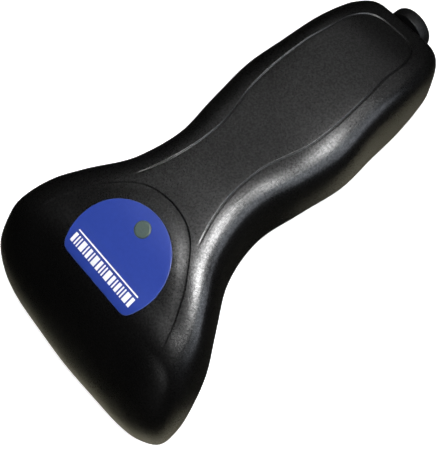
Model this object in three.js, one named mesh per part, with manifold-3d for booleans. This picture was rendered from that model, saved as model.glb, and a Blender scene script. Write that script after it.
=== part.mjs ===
// Corded hand-held contact scanner: a slim handle that flares into a wide reading head.
//
// Units are millimetres. The casing is drawn in the handle's own frame: X across, +Y from the
// head to the tail, +Z up, with the handle level. The last group lays the handle down at its
// resting tilt, so that the head's rear lip and the tail's heel stand on the plane z = 0.

import * as THREE from 'three';
import { mergeVertices } from 'three/addons/utils/BufferGeometryUtils.js';
import { ConvexGeometry } from 'three/addons/geometries/ConvexGeometry.js';
import Module from 'manifold-3d';

// ---------------------------------------------------------------- driving dimensions

const WALL = 2.3;            // thickness of both casing shells
const GAP = 0.3;             // space left between pieces that rest on each other
const SPINE = [-60.9, 86.2]; // the casing's crown line runs between these two stations

// Right half of the casing seen from above, from the middle of the head's front edge to the
// middle of the tail, as [x, y].
const OUTLINE = [
  [0, -77.5], [16.6, -76.9], [33, -75.8], [41.5, -73.6], [48.2, -68.9], [49.2, -60.8],
  [47.2, -52], [43.6, -43], [35.8, -32], [26.1, -18], [22.1, -1], [24.8, 16], [27.2, 34],
  [25.5, 52], [24.6, 66], [23.3, 76], [21.7, 82.2], [16.9, 88.7], [9, 89.7], [0, 89.7],
];

// Heights along the casing, as [y, z]: crown of the top, widest line (where the shells part)
// and keel of the underside before the head's mouth and chin are cut flat.
const CROWN = [
  [-78, -0.6], [-70, 17.1], [-62, 31.8], [-57, 39.2], [-52.5, 42.6], [-45, 45.6], [-33, 50.4],
  [-22, 53], [-8, 55.6], [8, 56.7], [25, 57.6], [42, 60.6], [57, 62.5], [70, 61.3], [89.7, 56.1],
];
const PARTING = [
  [-78, -10.3], [-66, -2.7], [-54, 6.3], [-42, 15.8], [-30, 22.8], [-16, 27.2], [0, 30.7],
  [20, 34.3], [45, 34.4], [60, 35], [75, 38.8], [89.7, 44],
];
const KEEL = [
  [-78, -46], [-66, -56], [-50, -50], [-40, -26], [-28, 4], [-22, 9.6], [-12, 14.5], [0, 18.5],
  [20, 23.8], [45, 25], [60, 25.6], [75, 29.6], [89.7, 36],
];
const TOP_SQUARENESS = 7;    // how long the top stays level before its shoulder
const TOP_STEEPNESS = 3.8;   // how upright its side walls are
const KEEL_ROUNDNESS = 3;    // how gently the underside rounds off

// Head: the mouth plane, which faces down and forward, and the flat chin behind it.
const MOUTH = { y: -65, z: -18.6, slope: THREE.MathUtils.degToRad(31) };
const CHIN = { y: -28, z: 4.2, slope: THREE.MathUtils.degToRad(54.5) };
const MOUTH_WALL = 3;
const MOUTH_SIZE = [72, 18];
const WINDOW_SIZE = [71, 17];
const CLEAR_SIZE = [67, 13];
const BEZEL_SIZE = [77, 21];
const HOOD_HALF = [34.6, 20.4];   // light hood's half-width at the window and at the mirror
const HOOD_WALL = 1.2;
const LAMP_COUNT = 8;
const LAMP_PITCH = 8.6;

// Badge facet on the head.
const FACET = { y: -45.3, z: 45.5, slope: THREE.MathUtils.degToRad(22) };
const BADGE_RADIUS = 19.9;
const BADGE_CHORD = 11.1;    // from the badge's centre to its straight front edge
const LIGHT_Y = 12.9;        // light window's centre, behind the badge's centre
const LIGHT_RADIUS = 2.75;

// Reading optics: a mirror folds the view from the mouth into the neck.
const OPTICS = { y: -38.2, z: 26, slope: THREE.MathUtils.degToRad(10) };
const MIRROR_TURN = THREE.MathUtils.degToRad(24.5);
const CHASSIS_HALF = 15.8;
const CHASSIS_FLOOR = -6.9;
const MIRROR_HALF = [12.9, 9.5];
const LENS_Y = 26;
const SENSOR_BOARD_Y = 40.2;

// Main board in the handle.
const BOARD = { y0: 6, y1: 70, half: 19, z: 36, thick: 1.6 };
const BOARD_SCREWS = [[-15.5, 10], [15.5, 10], [-15.5, 66], [15.5, 66]];
const SHELL_SCREWS = [[-27, -37.5], [27, -37.5], [-14.5, 77], [14.5, 77]];

// Trigger under the neck.
const TRIGGER = { y0: -24.6, y1: 13.6, half: 10, proud: 1.6, inside: 1.8 };
const PIVOT = { y: -21.5, z: 15.4, radius: 1.5, half: 13.6, hole: 1.6, lug: 3 };
const SWITCH = { x: 5, y: 9.5, gap: 0.9 };
const SPRING = { x: -5, y: 9.5, radius: 2.4, wire: 0.35, turns: 6 };

// Cable gland at the tail.
const GLAND = { z: 49, collar: 8.6, neck: 5, bore: 3.8, end: 95.1 };

// Resting pose.
const TILT = THREE.MathUtils.degToRad(24);
const REST_SHIFT = [0, -17.31, 3.4];

// ---------------------------------------------------------------- materials

function finish(color, roughness, metalness = 0) {
  return new THREE.MeshStandardMaterial({ color, roughness, metalness });
}

const MATERIALS = {
  casing: finish(0x141415, 0.45),
  trim: finish(0x1b1b1c, 0.55),
  badge: finish(0x2a3f9c, 0.35),
  light: finish(0x5f6b58, 0.3),
  window: finish(0x8c1018, 0.08),
  board: finish(0x1e5a34, 0.5),
  chip: finish(0x18191b, 0.45),
  steel: finish(0xb9bcc0, 0.3, 1),
  mirror: finish(0xd8dde0, 0.05, 1),
  lamp: finish(0xd9d4c4, 0.4),
  foam: finish(0x202020, 0.95),
  ribbon: finish(0xc9cacb, 0.55),
  glass: finish(0xcfe0e8, 0.03),
  label: finish(0xb4b6b8, 0.5),
  inner: finish(0x26282a, 0.6),
};

// ---------------------------------------------------------------- solids and booleans

const wasm = await Module();
wasm.setup();

/** Shares the vertices of a closed geometry and drops its collapsed triangles. */
function welded(geometry) {
  const bare = new THREE.BufferGeometry();
  bare.setAttribute('position', geometry.getAttribute('position'));
  bare.setIndex(geometry.getIndex());
  const merged = mergeVertices(bare, 1e-4);
  const index = merged.getIndex().array;
  const kept = [];
  for (let i = 0; i < index.length; i += 3) {
    const [a, b, c] = [index[i], index[i + 1], index[i + 2]];
    if (a !== b && b !== c && c !== a) kept.push(a, b, c);
  }
  merged.setIndex(kept);
  return merged;
}

function toSolid(geometry) {
  const merged = welded(geometry);
  const vertProperties = new Float32Array(merged.getAttribute('position').array);
  const triVerts = new Uint32Array(merged.getIndex().array);
  return new wasm.Manifold(new wasm.Mesh({ numProp: 3, vertProperties, triVerts }));
}

function toGeometry(solid) {
  const mesh = solid.getMesh();
  const geometry = new THREE.BufferGeometry();
  geometry.setAttribute('position', new THREE.BufferAttribute(mesh.vertProperties, 3));
  geometry.setIndex(new THREE.BufferAttribute(mesh.triVerts, 1));
  geometry.computeVertexNormals();
  return geometry;
}

function join(first, ...others) {
  return others.reduce((sum, next) => sum.add(next), first);
}

function cut(first, ...others) {
  return others.reduce((rest, next) => rest.subtract(next), first);
}

/** Box given by its lowest and highest corners. */
function block(low, high) {
  const geometry = new THREE.BoxGeometry(high[0] - low[0], high[1] - low[1], high[2] - low[2]);
  return geometry.translate((low[0] + high[0]) / 2, (low[1] + high[1]) / 2, (low[2] + high[2]) / 2);
}

/** Upright cylinder at (x, y) between two heights. */
function post(x, y, z0, z1, radius, sides = 20) {
  const geometry = new THREE.CylinderGeometry(radius, radius, z1 - z0, sides);
  return geometry.rotateX(Math.PI / 2).translate(x, y, (z0 + z1) / 2);
}

/** Plain pin that lies along the Y axis, centred on the origin. */
function pin(radius, half, sides = 24) {
  return new THREE.CylinderGeometry(radius, radius, 2 * half, sides);
}

/** Solid of revolution about the Y axis, from [radius, y] points. */
function turned(profile, sides = 24) {
  return new THREE.LatheGeometry(profile.map(([r, y]) => new THREE.Vector2(r, y)), sides);
}

/** Rounded rectangle in the XY plane, extruded between two heights. */
function roundedPlate([width, height], radius, z0, z1) {
  const [x, y] = [width / 2 - radius, height / 2 - radius];
  const shape = new THREE.Shape();
  shape.absarc(x, y, radius, 0, Math.PI / 2);
  shape.absarc(-x, y, radius, Math.PI / 2, Math.PI);
  shape.absarc(-x, -y, radius, Math.PI, 1.5 * Math.PI);
  shape.absarc(x, -y, radius, 1.5 * Math.PI, 2 * Math.PI);
  const depth = z1 - z0;
  const geometry = new THREE.ExtrudeGeometry(shape, { depth, bevelEnabled: false, curveSegments: 4 });
  return geometry.translate(0, 0, z0);
}

/** Side profile in (y, z), extruded across from x0 to x1. */
function sidePlate(profile, x0, x1) {
  const shape = new THREE.Shape(profile.map(([y, z]) => new THREE.Vector2(y, z)));
  const geometry = new THREE.ExtrudeGeometry(shape, { depth: x1 - x0, bevelEnabled: false });
  const toSide = new THREE.Matrix4().set(0, 0, 1, x0, 1, 0, 0, 0, 0, 1, 0, 0, 0, 0, 0, 1);
  return geometry.applyMatrix4(toSide);
}

// ---------------------------------------------------------------- casing surfaces

/** Smooth height line through [y, z] points: cubic pieces with averaged slopes. */
function heightLine(points) {
  const slope = (i, j) => (points[j][1] - points[i][1]) / (points[j][0] - points[i][0]);
  const last = points.length - 1;
  const slopes = points.map((_, i) => slope(Math.max(i - 1, 0), Math.min(i + 1, last)));
  return (y) => {
    const at = THREE.MathUtils.clamp(y, points[0][0], points[last][0]);
    let i = 0;
    while (i < last - 1 && at > points[i + 1][0]) i += 1;
    const [[y0, z0], [y1, z1]] = [points[i], points[i + 1]];
    const span = y1 - y0;
    const t = (at - y0) / span;
    const rise = z1 - z0;
    const [s0, s1] = [slopes[i] * span, slopes[i + 1] * span];
    return z0 + t * s0 + t * t * (3 * rise - 2 * s0 - s1) + t * t * t * (s0 + s1 - 2 * rise);
  };
}

const crown = heightLine(CROWN);
const parting = heightLine(PARTING);
const keel = heightLine(KEEL);

/** Closed plan outline, moved inward by an inset, with its left half an exact mirror. */
function planOutline(inset, stepsPerPoint = 2) {
  const right = OUTLINE.map(([x, y]) => new THREE.Vector3(x, y, 0));
  const left = OUTLINE.slice(1, -1).reverse().map(([x, y]) => new THREE.Vector3(-x, y, 0));
  const curve = new THREE.CatmullRomCurve3([...right, ...left], true, 'centripetal');
  const half = (OUTLINE.length - 1) * stepsPerPoint;
  const points = [];
  for (let i = 0; i <= half; i += 1) {
    const t = i / (2 * half);
    const point = curve.getPoint(t);
    const along = curve.getTangent(t);
    const onAxis = i === 0 || i === half;
    const x = onAxis ? 0 : point.x - along.y * inset;
    points.push([x, point.y + along.x * inset]);
  }
  const mirrored = points.slice(1, -1).reverse().map(([x, y]) => [-x, y]);
  return [...points, ...mirrored];
}

/** One ring of the casing: the outline drawn in towards the spine by the ratio r. */
function ring(outline, r, height) {
  return outline.map(([x, y]) => {
    const spineY = THREE.MathUtils.clamp(y, SPINE[0], SPINE[1]);
    const ringY = spineY + (y - spineY) * r;
    return [x * r, ringY, height(ringY, r)];
  });
}

/** Closed solid from rings whose first and last are drawn in to the spine. */
function loft(rings) {
  const count = rings[0].length;
  const index = [];
  for (let i = 0; i < rings.length - 1; i += 1) {
    for (let j = 0; j < count; j += 1) {
      const [a, b] = [i * count + j, i * count + ((j + 1) % count)];
      index.push(a, b + count, b, a, a + count, b + count);
    }
  }
  const geometry = new THREE.BufferGeometry();
  geometry.setAttribute('position', new THREE.Float32BufferAttribute(rings.flat(2), 3));
  geometry.setIndex(index);
  return toSolid(geometry);
}

/** Everything between the parting surface and the crowned top, inside an inset. */
function topVolume(inset, floorShift) {
  const outline = planOutline(inset, inset > 0 ? 1 : 2);
  const height = (y, r) => {
    const swell = (1 - r ** TOP_SQUARENESS) ** (1 / TOP_STEEPNESS);
    return parting(y) + (crown(y) - inset - parting(y)) * swell;
  };
  const floor = (y) => parting(y) + floorShift;
  const angles = [74, 58, 44, 30, 18, 8];
  const ratio = (angle) => Math.cos(THREE.MathUtils.degToRad(angle)) ** (2 / TOP_SQUARENESS);
  const rings = [0, ...angles.map(ratio)].map((r) => ring(outline, r, height));
  return loft([...rings, ring(outline, 1, floor), ring(outline, 0, floor)]);
}

/** Everything between the parting surface and the underside, inside an inset. */
function bottomVolume(inset, lidShift) {
  const floor = (y) => Math.max(keel(y) + inset, keel(y + 0.8 * inset) + 0.6 * inset);
  const outline = planOutline(inset);
  const height = (y, r) => {
    const swell = 1 - r ** KEEL_ROUNDNESS;
    return parting(y) + (floor(y) - parting(y)) * swell - GAP / 2;
  };
  const lid = (y) => parting(y) + lidShift;
  const rings = [0, 0.35, 0.6, 0.78, 0.9, 0.97].map((r) => ring(outline, r, height));
  return loft([ring(outline, 0, lid), ring(outline, 1, lid), ...rings.reverse()]);
}

/** Space below the head: outside the mouth plane and the chin plane, both moved in by walls. */
function belowJaw(mouthWall, chinWall) {
  const [mc, ms] = [Math.cos(MOUTH.slope), Math.sin(MOUTH.slope)];
  const [cc, cs] = [Math.cos(CHIN.slope), Math.sin(CHIN.slope)];
  const mouth = [MOUTH.y + ms * mouthWall, MOUTH.z + mc * mouthWall];
  const chin = [CHIN.y - cs * chinWall, CHIN.z + cc * chinWall];
  const reach = ((chin[0] - mouth[0]) * cs - (chin[1] - mouth[1]) * cc) / (mc * cs + ms * cc);
  const lip = [mouth[0] + mc * reach, mouth[1] - ms * reach];
  const front = [mouth[0] - mc * 30, mouth[1] + ms * 30];
  return toSolid(sidePlate([front, [front[0], -90], [chin[0], -90], chin, lip], -70, 70));
}

// ---------------------------------------------------------------- frames of the sub-assemblies

function tiltedFrame({ y, z }, angle) {
  const frame = new THREE.Group();
  frame.position.set(0, y, z);
  frame.rotation.x = angle;
  frame.updateMatrix();
  return frame;
}

const mouthFrame = tiltedFrame(MOUTH, -MOUTH.slope);
const facetFrame = tiltedFrame(FACET, FACET.slope);
const opticsFrame = tiltedFrame(OPTICS, OPTICS.slope);
const handleFrame = new THREE.Group();
handleFrame.rotation.x = -TILT;
handleFrame.position.set(...REST_SHIFT);
handleFrame.updateMatrix();
handleFrame.add(mouthFrame, facetFrame, opticsFrame);

function add(frame, name, geometry, material, position = [0, 0, 0]) {
  const mesh = new THREE.Mesh(geometry, MATERIALS[material]);
  mesh.name = name;
  mesh.position.set(...position);
  frame.add(mesh);
  return mesh;
}

// ---------------------------------------------------------------- casing shells

/** D-shaped badge outline extruded between two heights, in the facet's frame. */
function badgePlate(radius, chord, z0, z1) {
  const corner = Math.acos(chord / radius);
  const shape = new THREE.Shape();
  shape.absarc(0, 0, radius, -Math.PI / 2 + corner, 1.5 * Math.PI - corner);
  const depth = z1 - z0;
  const geometry = new THREE.ExtrudeGeometry(shape, { depth, bevelEnabled: false, curveSegments: 28 });
  return geometry.translate(0, 0, z0);
}

/** Space under the table plane, seen from the handle's frame. */
function belowTable() {
  const table = block([-80, -150, -80], [80, 150, 0]);
  return toSolid(table.applyMatrix4(handleFrame.matrix.clone().invert()));
}

function glandBore() {
  return toSolid(turned([[0, 70], [GLAND.neck + GAP, 70], [GLAND.neck + GAP, 100], [0, 100]])
    .translate(0, 0, GLAND.z));
}

/** Rod across the casing on the trigger's pivot line. */
function pivotRod(radius, half) {
  return toSolid(pin(radius, half).rotateZ(Math.PI / 2).translate(0, PIVOT.y, PIVOT.z));
}

function makeTopShell() {
  const outer = topVolume(0, GAP / 2);
  const bosses = SHELL_SCREWS.map(([x, y]) => {
    const seat = parting(y) - 2;
    return toSolid(post(x, y, seat, seat + 60, 3.2, 16)).intersect(outer);
  });
  const pilots = SHELL_SCREWS.map(([x, y]) => (
    toSolid(post(x, y, parting(y) - 5, parting(y) + 9, 1.45, 12))
  ));
  const light = toSolid(post(0, LIGHT_Y, -6, 3, LIGHT_RADIUS + GAP).applyMatrix4(facetFrame.matrix));
  const recess = toSolid(badgePlate(BADGE_RADIUS + GAP, BADGE_CHORD + GAP, -0.6, 6)
    .applyMatrix4(facetFrame.matrix));
  const hollow = topVolume(WALL, -3);
  return cut(join(cut(outer, hollow), ...bosses), ...pilots, light, recess, glandBore());
}

function makeBottomShell() {
  const outer = cut(bottomVolume(0, -GAP / 2), belowJaw(0, 0));
  const hollow = cut(bottomVolume(WALL, 3), belowJaw(MOUTH_WALL, WALL));
  const boardPosts = BOARD_SCREWS.map(([x, y]) => toSolid(post(x, y, 10, BOARD.z - GAP, 2.6, 14)));
  const lowShell = bottomVolume(0, 12);
  const wells = SHELL_SCREWS.map(([x, y]) => toSolid(post(x, y, -60, parting(y) - 2 - GAP, 4, 18)));
  const cheeks = [-1, 1].map((side) => {
    const [x0, x1] = side > 0 ? [10.9, 14] : [-14, -10.9];
    return toSolid(block([x0, PIVOT.y - 3.6, 0], [x1, PIVOT.y + 3.6, PIVOT.z + 3]));
  });
  const inside = cut(lowShell, belowJaw(0, 0));
  const fittings = [...boardPosts, ...wells, ...cheeks].map((solid) => solid.intersect(inside));
  const holes = [
    ...BOARD_SCREWS.map(([x, y]) => toSolid(post(x, y, BOARD.z - 5, BOARD.z + 1, 1.3, 12))),
    ...SHELL_SCREWS.map(([x, y]) => toSolid(post(x, y, -70, parting(y) - 5, 3.1, 18))),
    ...SHELL_SCREWS.map(([x, y]) => toSolid(post(x, y, -70, parting(y), 1.6, 12))),
    toSolid(roundedPlate(MOUTH_SIZE, 3, -4, 8).applyMatrix4(mouthFrame.matrix)),
    toSolid(block([-10.5, TRIGGER.y0 - 0.6, -10], [10.5, TRIGGER.y1 + 0.6, 26])),
    pivotRod(PIVOT.hole, 20),
    toSolid(block([-9.3, 31.7, 10], [9.3, 58.3, 26.2])),
    glandBore(),
    belowTable(),
  ];
  return cut(join(cut(outer, hollow), ...fittings), ...holes);
}

add(handleFrame, 'top_shell', toGeometry(makeTopShell()), 'casing');
add(handleFrame, 'bottom_shell', toGeometry(makeBottomShell()), 'casing');
add(handleFrame, 'rating_label', block([-9, 32, 25.6], [9, 58, 25.9]), 'label');

/** Pan-head screw that points up, with its head's underside at z = 0. */
function screw(radius, length, headRadius, headHeight) {
  const profile = [
    [0, -headHeight], [headRadius * 0.7, -headHeight], [headRadius, -headHeight * 0.5],
    [headRadius, 0], [radius, 0], [radius, length - 1], [radius * 0.4, length], [0, length],
  ];
  return turned(profile, 10).rotateX(Math.PI / 2);
}

SHELL_SCREWS.forEach(([x, y], i) => {
  const seat = parting(y) - 5 - GAP;
  add(handleFrame, `shell_screw_${i + 1}`, screw(1.15, 12, 2.6, 1.8), 'steel', [x, y, seat]);
});

// ---------------------------------------------------------------- badge and status light

{
  const plate = toSolid(badgePlate(BADGE_RADIUS, BADGE_CHORD, -0.3, 0.25));
  const hole = toSolid(post(0, LIGHT_Y, -2, 2, LIGHT_RADIUS + GAP));
  add(facetFrame, 'badge', toGeometry(cut(plate, hole)), 'badge');
  const guide = [
    [0, -4.4], [4.2, -4.4], [4.2, -3.3], [LIGHT_RADIUS, -3.3],
    [LIGHT_RADIUS, 0.2], [2.3, 0.4], [0, 0.4],
  ];
  add(facetFrame, 'light_window', turned(guide, 20).rotateX(Math.PI / 2), 'light', [0, LIGHT_Y, 0]);
  add(facetFrame, 'status_board', block([-9, -6, -9], [9, 6, -7.8]), 'board', [0, LIGHT_Y, 0]);
  add(facetFrame, 'status_led', block([-1.5, -1.5, -7.5], [1.5, 1.5, -5.9]), 'lamp', [0, LIGHT_Y, 0]);
}

// ---------------------------------------------------------------- mouth: bezel, window, lamps

{
  const clear = toSolid(roundedPlate(CLEAR_SIZE, 2, -4, 6));
  const collarSize = [MOUTH_SIZE[0] - 2 * GAP, MOUTH_SIZE[1] - 2 * GAP];
  const bezel = join(
    toSolid(roundedPlate(BEZEL_SIZE, 4, -1.2, -GAP)),
    toSolid(roundedPlate(collarSize, 2.7, -0.6, 2.4)),
  );
  add(mouthFrame, 'window_bezel', toGeometry(cut(bezel, clear)), 'trim');
  add(mouthFrame, 'window', roundedPlate(WINDOW_SIZE, 2.5, 2.7, 4.7), 'window');
  const seal = toSolid(roundedPlate(WINDOW_SIZE, 2.5, 5, 6.2));
  const opening = toSolid(roundedPlate([CLEAR_SIZE[0] - 1, CLEAR_SIZE[1] - 1], 2, 4, 7));
  add(mouthFrame, 'window_gasket', toGeometry(cut(seal, opening)), 'foam');

  add(mouthFrame, 'lamp_board', block([-HOOD_HALF[0], 3.8, 9.5], [HOOD_HALF[0], 8.2, 10.7]), 'board');
  for (let i = 0; i < LAMP_COUNT; i += 1) {
    const x = (i - (LAMP_COUNT - 1) / 2) * LAMP_PITCH;
    add(mouthFrame, `lamp_${i + 1}`, block([-1.6, -1.4, 7.6], [1.6, 1.4, 9.2]), 'lamp', [x, 6, 0]);
  }
}

/** Straight-sided funnel block between two rectangles, each [halfWidth, y0, y1, z]. */
function funnel(near, far) {
  const corners = [near, far].flatMap(([half, y0, y1, z]) => [
    new THREE.Vector3(-half, y0, z), new THREE.Vector3(half, y0, z),
    new THREE.Vector3(-half, y1, z), new THREE.Vector3(half, y1, z),
  ]);
  return toSolid(new ConvexGeometry(corners));
}

{
  const [near, far] = HOOD_HALF;
  const skin = funnel([near, -8.2, 3.2, 6.6], [far, -6.2, 5.2, 38]);
  const path = funnel([near - HOOD_WALL, -7, 2, 6.5], [far - HOOD_WALL, -5, 4, 38.1]);
  add(mouthFrame, 'light_hood', toGeometry(cut(skin, path)), 'inner');
}

// ---------------------------------------------------------------- reading optics

{
  const h = CHASSIS_HALF;
  const cheek = [[-10, -3], [2, CHASSIS_FLOOR], [39, CHASSIS_FLOOR], [39, 8], [-10, 8]];
  const wallY = [LENS_Y - 3, LENS_Y + 0.5];
  const frame = join(
    toSolid(sidePlate(cheek, -h, -h + 1.4)),
    toSolid(sidePlate(cheek, h - 1.4, h)),
    toSolid(block([-h, 2, CHASSIS_FLOOR], [h, 39, CHASSIS_FLOOR + 1.4])),
    toSolid(block([-h, wallY[0], CHASSIS_FLOOR], [h, wallY[1], 8])),
  );
  const barrelHole = toSolid(turned([[0, 15], [5.3, 15], [5.3, 32], [0, 32]]));
  add(opticsFrame, 'optics_chassis', toGeometry(cut(frame, barrelHole)), 'inner');

  const [front, back] = [LENS_Y - 4, LENS_Y + 6];
  const barrel = [[3.5, front], [5, front], [5, back], [3.5, back], [3.5, front]];
  add(opticsFrame, 'lens_barrel', turned(barrel, 24), 'chip');
  const lens = [[0, -1.6], [1.8, -1.3], [3.2, -0.5], [3.2, 0.5], [1.8, 1.3], [0, 1.6]];
  add(opticsFrame, 'lens', turned(lens, 20), 'glass', [0, LENS_Y, 0]);
  add(opticsFrame, 'sensor', block([-11, 36.4, -3], [11, 39, 5]), 'chip');
  const boardY = SENSOR_BOARD_Y;
  add(opticsFrame, 'sensor_board', block([-16, boardY - 0.8, -6.6], [16, boardY + 0.8, 10]), 'board');

  const mirrorFrame = tiltedFrame({ y: 0, z: 0 }, MIRROR_TURN);
  opticsFrame.add(mirrorFrame);
  const [mx, my] = MIRROR_HALF;
  add(mirrorFrame, 'mirror', block([-mx, -my, 0], [mx, my, 2]), 'mirror');
  // Spring clip, a flat-bottomed U round the mirror's side edge, drawn in (x, z) from the edge.
  const clip = [
    [-2.4, -0.9], [1, -0.9], [1, 2.9], [-2.4, 2.9], [-2.4, 2.3], [0.3, 2.3], [0.3, -0.3], [-2.4, -0.3],
  ];
  [['left', -1], ['right', 1]].forEach(([side, sign]) => {
    const shape = new THREE.Shape(clip.map(([x, z]) => new THREE.Vector2(sign * (mx + x), z)));
    const geometry = new THREE.ExtrudeGeometry(shape, { depth: 4, bevelEnabled: false })
      .rotateX(Math.PI / 2).translate(0, 2, 0);
    add(mirrorFrame, `mirror_clip_${side}`, geometry, 'steel');
  });
}

// ---------------------------------------------------------------- main board

{
  const top = BOARD.z + BOARD.thick;
  const onBoard = top + GAP;
  const sheet = toSolid(block([-BOARD.half, BOARD.y0, BOARD.z], [BOARD.half, BOARD.y1, top]));
  const holes = BOARD_SCREWS.map(([x, y]) => toSolid(post(x, y, BOARD.z - 2, top + 2, 1.3, 12)));
  add(handleFrame, 'main_board', toGeometry(cut(sheet, ...holes)), 'board');
  add(handleFrame, 'processor', block([-7, 24, onBoard], [7, 38, onBoard + 1.6]), 'chip');
  add(handleFrame, 'memory_chip', block([9.5, 26, onBoard], [14.5, 34, onBoard + 1.5]), 'chip');
  add(handleFrame, 'crystal', block([-15, 26, onBoard], [-10.5, 37, onBoard + 3.4]), 'steel');
  [[-6, 48], [6, 48]].forEach(([x, y], i) => {
    add(handleFrame, `capacitor_${i + 1}`, post(x, y, onBoard, onBoard + 7.5, 3.15, 18), 'steel');
  });
  const buzzer = [[0, 0], [6, 0], [6, 5.5], [1.2, 5.5], [1.2, 3], [0, 3]];
  add(handleFrame, 'buzzer', turned(buzzer).rotateX(Math.PI / 2), 'chip', [0, 15, onBoard]);
  const header = [[-6.5, 60], [6.5, 67]];
  add(handleFrame, 'cable_header', toGeometry(cut(
    toSolid(block([...header[0], onBoard], [...header[1], onBoard + 6])),
    toSolid(block([-5.5, 61.2, onBoard + 1.5], [5.5, 68, onBoard + 5])),
  )), 'label');
  BOARD_SCREWS.forEach(([x, y], i) => {
    const down = screw(1, 5.5, 2.1, 1.5).rotateX(Math.PI);
    add(handleFrame, `board_screw_${i + 1}`, down, 'steel', [x, y, onBoard]);
  });
}

/** Flat ribbon that loops from the back of the sensor board down to the main board. */
function ribbonGeometry() {
  const route = new THREE.CatmullRomCurve3([[3.4, 40.6], [6.5, 42.4], [9.6, 41.4], [10.6, 38.2]]
    .map(([y, z]) => new THREE.Vector3(0, y, z)));
  const points = route.getPoints(10);
  const normals = points.map((_, i) => {
    const along = route.getTangent(i / 10);
    return [-along.z * 0.2, along.y * 0.2];
  });
  const upper = points.map((p, i) => [p.y + normals[i][0], p.z + normals[i][1]]);
  const lower = points.map((p, i) => [p.y - normals[i][0], p.z - normals[i][1]]).reverse();
  return sidePlate([...upper, ...lower], 5, 12);
}
add(handleFrame, 'ribbon_cable', ribbonGeometry(), 'ribbon');

// ---------------------------------------------------------------- trigger

/** Lever that follows the underside of the neck, with a lug for its pivot pin. */
function makeTrigger() {
  const steps = 10;
  const outer = [];
  const inner = [];
  for (let i = 0; i <= steps; i += 1) {
    const y = TRIGGER.y0 + ((TRIGGER.y1 - TRIGGER.y0) * i) / steps;
    const bulge = Math.sin((Math.PI * i) / steps) ** 0.5;
    outer.push([y, keel(y) - TRIGGER.proud * bulge]);
    inner.push([y, keel(y) + TRIGGER.inside]);
  }
  const lever = toSolid(sidePlate([...outer, ...inner.reverse()], -TRIGGER.half, TRIGGER.half));
  const [webFront, webBack] = [PIVOT.y - 2.2, PIVOT.y + 2.2];
  const web = block([-TRIGGER.half, webFront, keel(PIVOT.y)], [TRIGGER.half, webBack, PIVOT.z]);
  const lug = pivotRod(PIVOT.lug, TRIGGER.half);
  return cut(join(lever, lug, toSolid(web)), pivotRod(PIVOT.hole, 20));
}

{
  add(handleFrame, 'trigger', toGeometry(makeTrigger()), 'trim');
  const axle = pin(PIVOT.radius, PIVOT.half).rotateZ(Math.PI / 2);
  add(handleFrame, 'trigger_pin', axle, 'steel', [0, PIVOT.y, PIVOT.z]);

  const seat = keel(SWITCH.y) + TRIGGER.inside + SWITCH.gap;
  const body = toSolid(block([-3, -3, seat + 2.4], [3, 3, BOARD.z - GAP]));
  const well = toSolid(post(0, 0, seat, seat + 6.6, 1.5, 16));
  add(handleFrame, 'trigger_switch', toGeometry(cut(body, well)), 'chip', [SWITCH.x, SWITCH.y, 0]);
  const plunger = post(0, 0, seat, seat + 4.2, 1.2, 16);
  add(handleFrame, 'switch_plunger', plunger, 'label', [SWITCH.x, SWITCH.y, 0]);

  const base = keel(SPRING.y) + TRIGGER.inside + GAP + SPRING.wire;
  const rise = BOARD.z - GAP - SPRING.wire - base;
  const coil = new THREE.Curve();
  coil.getPoint = (t) => {
    const turn = 2 * Math.PI * SPRING.turns * t;
    const [x, y] = [SPRING.radius * Math.cos(turn), SPRING.radius * Math.sin(turn)];
    return new THREE.Vector3(x, y, base + rise * t);
  };
  const wire = new THREE.Shape();
  wire.absarc(0, 0, SPRING.wire, 0, 2 * Math.PI);
  const steps = SPRING.turns * 9;
  const spring = new THREE.ExtrudeGeometry(wire, { steps, curveSegments: 3, extrudePath: coil });
  add(handleFrame, 'trigger_spring', spring, 'steel', [SPRING.x, SPRING.y, 0]);
}

// ---------------------------------------------------------------- cable gland

{
  const tail = OUTLINE[OUTLINE.length - 1][1];
  const collar = tail + GAP;
  const profile = [
    [GLAND.bore, tail - 5.4], [GLAND.neck + 0.5, tail - 5.4], [GLAND.neck + 0.5, tail - 3.6],
    [GLAND.neck, tail - 3.6], [GLAND.neck, collar], [GLAND.collar, collar],
    [GLAND.collar, GLAND.end - 1.2], [GLAND.collar - 1.2, GLAND.end], [GLAND.bore, GLAND.end],
    [GLAND.bore, tail - 5.4],
  ];
  add(handleFrame, 'cable_gland', turned(profile, 24), 'trim', [0, 0, GLAND.z]);
}

const scanner = new THREE.Group();
scanner.name = 'handheld_scanner';
scanner.add(handleFrame);

export default scanner;
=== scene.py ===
"""Corded hand-held contact scanner: black textured casing, blue badge, red reading window.

Shapes are drawn in millimetres in the handle's own level frame (X across, +Y from the head to
the tail, +Z up) and then laid down at the resting tilt, in metres, in the part's frame.
"""
import math
import random

import bmesh
import bpy
import numpy as np
from mathutils import Matrix, Vector


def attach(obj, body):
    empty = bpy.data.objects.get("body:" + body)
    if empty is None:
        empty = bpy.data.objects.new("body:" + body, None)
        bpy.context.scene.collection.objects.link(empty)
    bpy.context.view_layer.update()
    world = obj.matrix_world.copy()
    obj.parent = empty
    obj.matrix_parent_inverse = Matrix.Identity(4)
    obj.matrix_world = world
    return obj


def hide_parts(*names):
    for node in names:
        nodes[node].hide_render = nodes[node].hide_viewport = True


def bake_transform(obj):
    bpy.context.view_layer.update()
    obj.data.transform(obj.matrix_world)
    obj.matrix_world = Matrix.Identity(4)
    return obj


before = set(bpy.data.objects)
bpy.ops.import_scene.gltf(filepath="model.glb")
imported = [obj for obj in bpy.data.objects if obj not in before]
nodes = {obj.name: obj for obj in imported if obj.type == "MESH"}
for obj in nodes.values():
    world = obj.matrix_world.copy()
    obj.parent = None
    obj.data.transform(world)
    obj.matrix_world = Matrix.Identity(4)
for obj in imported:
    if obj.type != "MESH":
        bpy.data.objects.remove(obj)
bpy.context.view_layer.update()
scene = bpy.context.scene

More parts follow.
